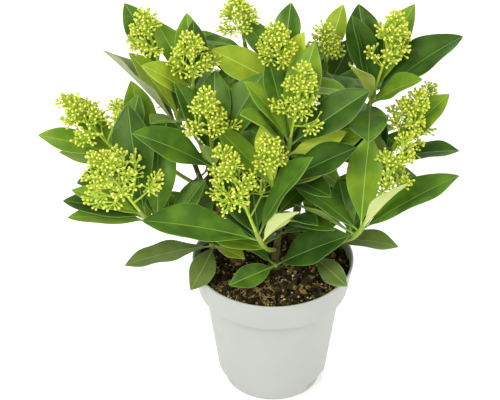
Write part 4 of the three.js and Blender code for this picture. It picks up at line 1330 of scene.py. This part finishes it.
# Radius and height of the compost's side below its top, down to the pot's floor.
gap = soilSet["gap"]
soilSide = [(collar - wall - 0.7, collarLow + 1), (body - wall - gap, collarLow - 1.6),
            (heel - wall - gap, heelHigh + wall + 0.4), (foot - wall - gap, heelHigh + wall + 0.35),
            (foot - 2 * wall - gap, pot["floor"] + 0.3)]
soilPoints = [Vector((0, 0, soilHeight(0, 0)))]
rings, sides = soilSet["rings"], soilSet["sides"]
for i in range(1, rings + 1):
    radius = soilRadius * (i / rings) ** soilSet["ringCrowding"]
    soilPoints += [Vector((x, y, soilHeight(x, y))) for x, y in roundAt(radius, sides)]
for radius, height in soilSide:
    soilPoints += [Vector((x, y, height)) for x, y in roundAt(radius, sides)]
soilFaces = [(0, 1 + k, 1 + (k + 1) % sides) for k in range(sides)]
for i in range(rings - 1 + len(soilSide)):
    for k in range(sides):
        a, b = 1 + i * sides + k, 1 + i * sides + (k + 1) % sides
        soilFaces.append((a, a + sides, b + sides, b))
soilFaces.append(tuple(range(len(soilPoints) - sides, len(soilPoints))))
soilPile = Pile()
soilPile.add(soilPoints, soilFaces, 0)
peat = finish("peat", tint(30, 25, 14), tint(16, 13, 8),
              {"Patch Size": 0.006, "Patch Edge": 0.1, "Grain Size": 0.0009, "Grain Depth": 0.5,
               "Smooth": 0.85, "Rough": 1.0}, 0.8, 1.0, Specular_IOR_Level=0.06)
soilPiece = makePiece("pottingSoil", soilPile, [peat], 60)
settle(soilPiece, ["soil"])

# Crumbs to a square metre, with their smallest and largest size in metres.
crumbs = {
    "peatClods": {"density": 26000, "small": 0.0018, "large": 0.0042, "flat": 0.85, "round": 2,
                  "seed": 5, "colour": tint(60, 52, 28), "patch": tint(26, 22, 12)},
    "tanClods": {"density": 16000, "small": 0.0012, "large": 0.003, "flat": 0.8, "round": 2,
                 "seed": 7, "colour": tint(146, 128, 66), "patch": tint(84, 72, 36)},
    "peatCrumbs": {"density": 190000, "small": 0.0005, "large": 0.0015, "flat": 0.75, "round": 1,
                   "seed": 11, "colour": tint(76, 66, 35), "patch": tint(34, 28, 16)},
    "mossCrumbs": {"density": 40000, "small": 0.0006, "large": 0.0018, "flat": 0.6, "round": 1,
                   "seed": 17, "colour": tint(96, 98, 44), "patch": tint(64, 66, 32)},
    "barkCrumbs": {"density": 24000, "small": 0.0006, "large": 0.0024, "flat": 0.4, "round": 1,
                   "seed": 23, "colour": tint(182, 152, 92), "patch": tint(120, 94, 52)},
    "paleCrumbs": {"density": 26000, "small": 0.0005, "large": 0.0014, "flat": 0.8, "round": 1,
                   "seed": 37, "colour": tint(214, 202, 160), "patch": tint(180, 162, 116)},
}


# The top of the compost, but for its outermost ring, to strew crumbs on.
def soilPatch(name):
    pile = Pile()
    pile.add(soilPoints[:1 + (rings - 1) * sides], soilFaces[:(rings - 1) * sides], 0)
    return makePiece(name, pile, [peat])


crumbGrain = {"Patch Size": 0.005, "Patch Edge": 0.15, "Grain Size": 0.0006, "Grain Depth": 0.3,
              "Smooth": 0.8, "Rough": 0.98}
for name, crumb in crumbs.items():
    piece = soilPatch(name)
    dusty = finish(name + "Finish", crumb["colour"], crumb["patch"], crumbGrain, 0.2, 0.8,
                   Specular_IOR_Level=0.1)
    runTree(piece, crumbTree, {
        "Density": float(crumb["density"]), "Smallest": crumb["small"], "Largest": crumb["large"],
        "Flatness": crumb["flat"], "Roundness": crumb["round"], "Seed": crumb["seed"],
        "Crumb Material": dusty})
    finishMesh(piece, crease=60)
    settle(piece)
    print(name, len(piece.data.polygons), "faces")

# Every third fibre lies in a tangled mat at one place.
fibreSet = {"count": 210, "reach": 0.95, "matAt": (-20, -38, 0), "matSize": 0.3, "curl": (-26, 26),
            "length": (5, 15), "steps": 7, "over": 0.6, "hump": (0.2, 1.4), "radius": (0.12, 0.24),
            "offWall": 2}
fibrePoints, fibreEdges, fibreRadii = [], [], []
for index in range(fibreSet["count"]):
    dice = Dice(seeds["fibre"] + index)
    radius = soilRadius * fibreSet["reach"] * math.sqrt(dice.roll())
    place = direction(dice.between(0, 360), 0) * radius
    if index % 3 == 0:
        place = place * fibreSet["matSize"] + Vector(fibreSet["matAt"])
    heading = dice.between(0, 360)
    curl = dice.between(*fibreSet["curl"])
    length = dice.between(*fibreSet["length"])
    start = len(fibrePoints)
    for i in range(fibreSet["steps"] + 1):
        if math.hypot(place.x, place.y) > soilRadius - fibreSet["offWall"]:
            break
        hump = dice.between(*fibreSet["hump"]) * math.sin(math.pi * i / fibreSet["steps"])
        height = soilHeight(place.x, place.y) + (fibreSet["over"] + hump)
        fibrePoints.append(Vector((place.x, place.y, height)))
        fibreRadii.append(dice.between(*fibreSet["radius"]) * mm)
        place = place + direction(heading, 0) * (length / fibreSet["steps"])
        heading += curl
    fibreEdges.extend((i, i + 1) for i in range(start, len(fibrePoints) - 1))
fibreTan = finish("fibreTan", tint(190, 164, 100), tint(148, 118, 68),
                  {"Patch Size": 0.008, "Grain Size": 0.0006, "Grain Depth": 0.2, "Smooth": 0.7,
                   "Rough": 0.9}, 0.05)
fibres = makeLines("peatFibres", fibrePoints, fibreEdges, {"stalkRadius": ("FLOAT", fibreRadii)})
runTree(fibres, stalkTree, {"Sides": 4, "Stalk Material": fibreTan})
finishMesh(fibres, crease=60)
settle(fibres)
print("peat fibres:", len(fibres.data.polygons), "faces")

# Rows is how finely the body and the collar are cut. Notch edge is in degrees.
potSet = {"sides": 240, "bodyRows": 16, "collarRows": 6, "stepHeight": 3.4, "lip": 2.4,
          "lipOut": 0.35, "notchOver": 0.5, "notchIn": 2, "notchEdge": 1.6, "notchLean": 0.4,
          "notchLeanHeight": 4}
bodyHigh = collarLow - potSet["stepHeight"]
collarHigh = top - potSet["lip"]
lipRadius = rim + potSet["lipOut"]

# The wall's outside from the foot to the lip, then the inside down to the floor: radius and height.
potProfile = [(foot - 1.2, 0), (foot - 0.3, 0.25), (foot + 0.2, 0.9), (foot + 2.2, 3.6),
              (heel - 0.6, 7.2), (heel, 8.4)]
for i in range(1, potSet["bodyRows"] + 1):
    share = i / potSet["bodyRows"]
    potProfile.append((heel + (body - heel) * share, heelHigh + (bodyHigh - heelHigh) * share))
potProfile += [(body + 0.3, collarLow - 2.5), (body + 1.2, collarLow - 1.9),
               (collar - 1.2, collarLow - 0.5), (collar - 0.35, collarLow),
               (collar + 0.05, collarLow + 0.9)]
for i in range(1, potSet["collarRows"] + 1):
    rise = (collarHigh - collarLow) * i / potSet["collarRows"]
    potProfile.append((collar + collarSlope * rise, collarLow + rise))
potProfile += [(lipRadius - 0.1, collarHigh + 0.35), (lipRadius, collarHigh + 0.8),
               (lipRadius, top - 0.6), (lipRadius - 0.2, top - 0.2), (rim - 0.2, top),
               (rim - wall + 0.4, top), (rim - wall + 0.1, top - 0.2), (rim - wall, top - 0.7),
               (collar - wall, collarLow + 0.5), (body - wall, collarLow - 2),
               (heel - wall, heelHigh + wall), (foot - wall, heelHigh + wall),
               (foot - 2 * wall, pot["floor"])]


# How far the heel is drawn in at a turn, from 0 between the notches to 1 in one.
def notchAt(turn):
    deepest = 0
    for middle in pot["notchTurns"]:
        edge = (pot["notchWidth"] / 2 - turnBetween(math.degrees(turn), middle)) / potSet["notchEdge"]
        deepest = max(deepest, min(1, max(0, edge)))
    return deepest


potPoints, potFaces = [], []
potSides = potSet["sides"]
for radius, height in potProfile:
    isHeel = height <= heelHigh + potSet["notchOver"] and radius > foot - potSet["notchIn"]
    lean = potSet["notchLean"] if height < potSet["notchLeanHeight"] else 0
    limit = heel - pot["notchDepth"] - lean
    for k in range(potSides):
        turn = 2 * math.pi * k / potSides
        drawn = radius + (min(radius, limit) - radius) * notchAt(turn) if isHeel else radius
        potPoints.append(Vector((drawn * math.cos(turn), drawn * math.sin(turn), height)))
for i in range(len(potProfile) - 1):
    for k in range(potSides):
        a, b = i * potSides + k, i * potSides + (k + 1) % potSides
        potFaces.append((a, b, b + potSides, a + potSides))
potFaces.append(tuple(range(potSides))[::-1])
potFaces.append(tuple(range(len(potPoints) - potSides, len(potPoints))))
potPile = Pile()
potPile.add(potPoints, potFaces, 0)
potPlastic = finish("potPlastic", tint(168, 170, 163), tint(164, 167, 160),
                    {"Patch Size": 0.045, "Patch Edge": 0.2, "Grain Size": 0.0011,
                     "Grain Depth": 0.025, "Smooth": 0.42, "Rough": 0.54}, 0.035, 0.5,
                    Specular_IOR_Level=0.45)
potPiece = makePiece("nurseryPot", potPile, [potPlastic], 35)

# Each drain hole is cut through the floor.
for i in range(pot["drainHoles"]):
    turn = 2 * math.pi * i / pot["drainHoles"]
    bpy.ops.mesh.primitive_cylinder_add(
        vertices=32, radius=pot["drainRadius"] * mm, depth=0.02,
        location=(pot["drainRing"] * math.cos(turn) * mm, pot["drainRing"] * math.sin(turn) * mm, 0))
    drill = bpy.context.object
    cut = potPiece.modifiers.new("drain", "BOOLEAN")
    cut.object = drill
    cut.operation = "DIFFERENCE"
    cut.solver = "EXACT"
    bpy.context.view_layer.update()
    evaluated = potPiece.evaluated_get(bpy.context.evaluated_depsgraph_get())
    mesh = bpy.data.meshes.new_from_object(evaluated)
    potPiece.modifiers.remove(cut)
    potPiece.data = mesh
    bpy.data.objects.remove(drill)
finishMesh(potPiece, 35)
settle(potPiece, ["pot"])
print("pot:", len(potPiece.data.polygons), "faces")


# A pale floor that glows a little, a white surround and three large lamps. Sizes are in metres.
room = {"reach": 4, "floorGlow": 0.22, "surround": 0.8, "aim": (0, 0, 0.17)}
reach = room["reach"]
floorMesh = bpy.data.meshes.new("floor")
floorMesh.from_pydata([(-reach, -reach, 0), (reach, -reach, 0), (reach, reach, 0), (-reach, reach, 0)],
                      [], [(0, 1, 2, 3)])
floor = bpy.data.objects.new("floor", floorMesh)
bpy.context.scene.collection.objects.link(floor)
floorMesh.materials.append(finish("paleFloor", tint(250, 250, 250), tint(248, 248, 248),
                                  {"Patch Size": 0.5, "Grain Size": 0.01, "Grain Depth": 0.0,
                                   "Smooth": 0.8, "Rough": 0.9}, 0.0,
                                  Emission_Color=(1, 1, 1, 1), Emission_Strength=room["floorGlow"]))

world = bpy.data.worlds.new("studio")
world.use_nodes = True
surround = world.node_tree.nodes["Background"]
surround.inputs["Color"].default_value = (1, 1, 1, 1)
surround.inputs["Strength"].default_value = room["surround"]
bpy.context.scene.world = world

lamps = {
    "keyLamp": {"place": (-0.9, -1.3, 1.7), "size": 0.9, "power": 33},
    "fillLamp": {"place": (1.4, -0.9, 1.1), "size": 1.2, "power": 9},
    "rearLamp": {"place": (0.2, 1.4, 1.5), "size": 1.0, "power": 10},
}
for name, lamp in lamps.items():
    data = bpy.data.lights.new(name, "AREA")
    data.size = lamp["size"]
    data.energy = lamp["power"]
    light = bpy.data.objects.new(name, data)
    light.location = lamp["place"]
    aim = Vector(room["aim"]) - light.location
    light.rotation_euler = aim.to_track_quat("-Z", "Y").to_euler()
    bpy.context.scene.collection.objects.link(light)
bpy.context.scene.view_settings.view_transform = "Standard"
print("floor and lamps ready")
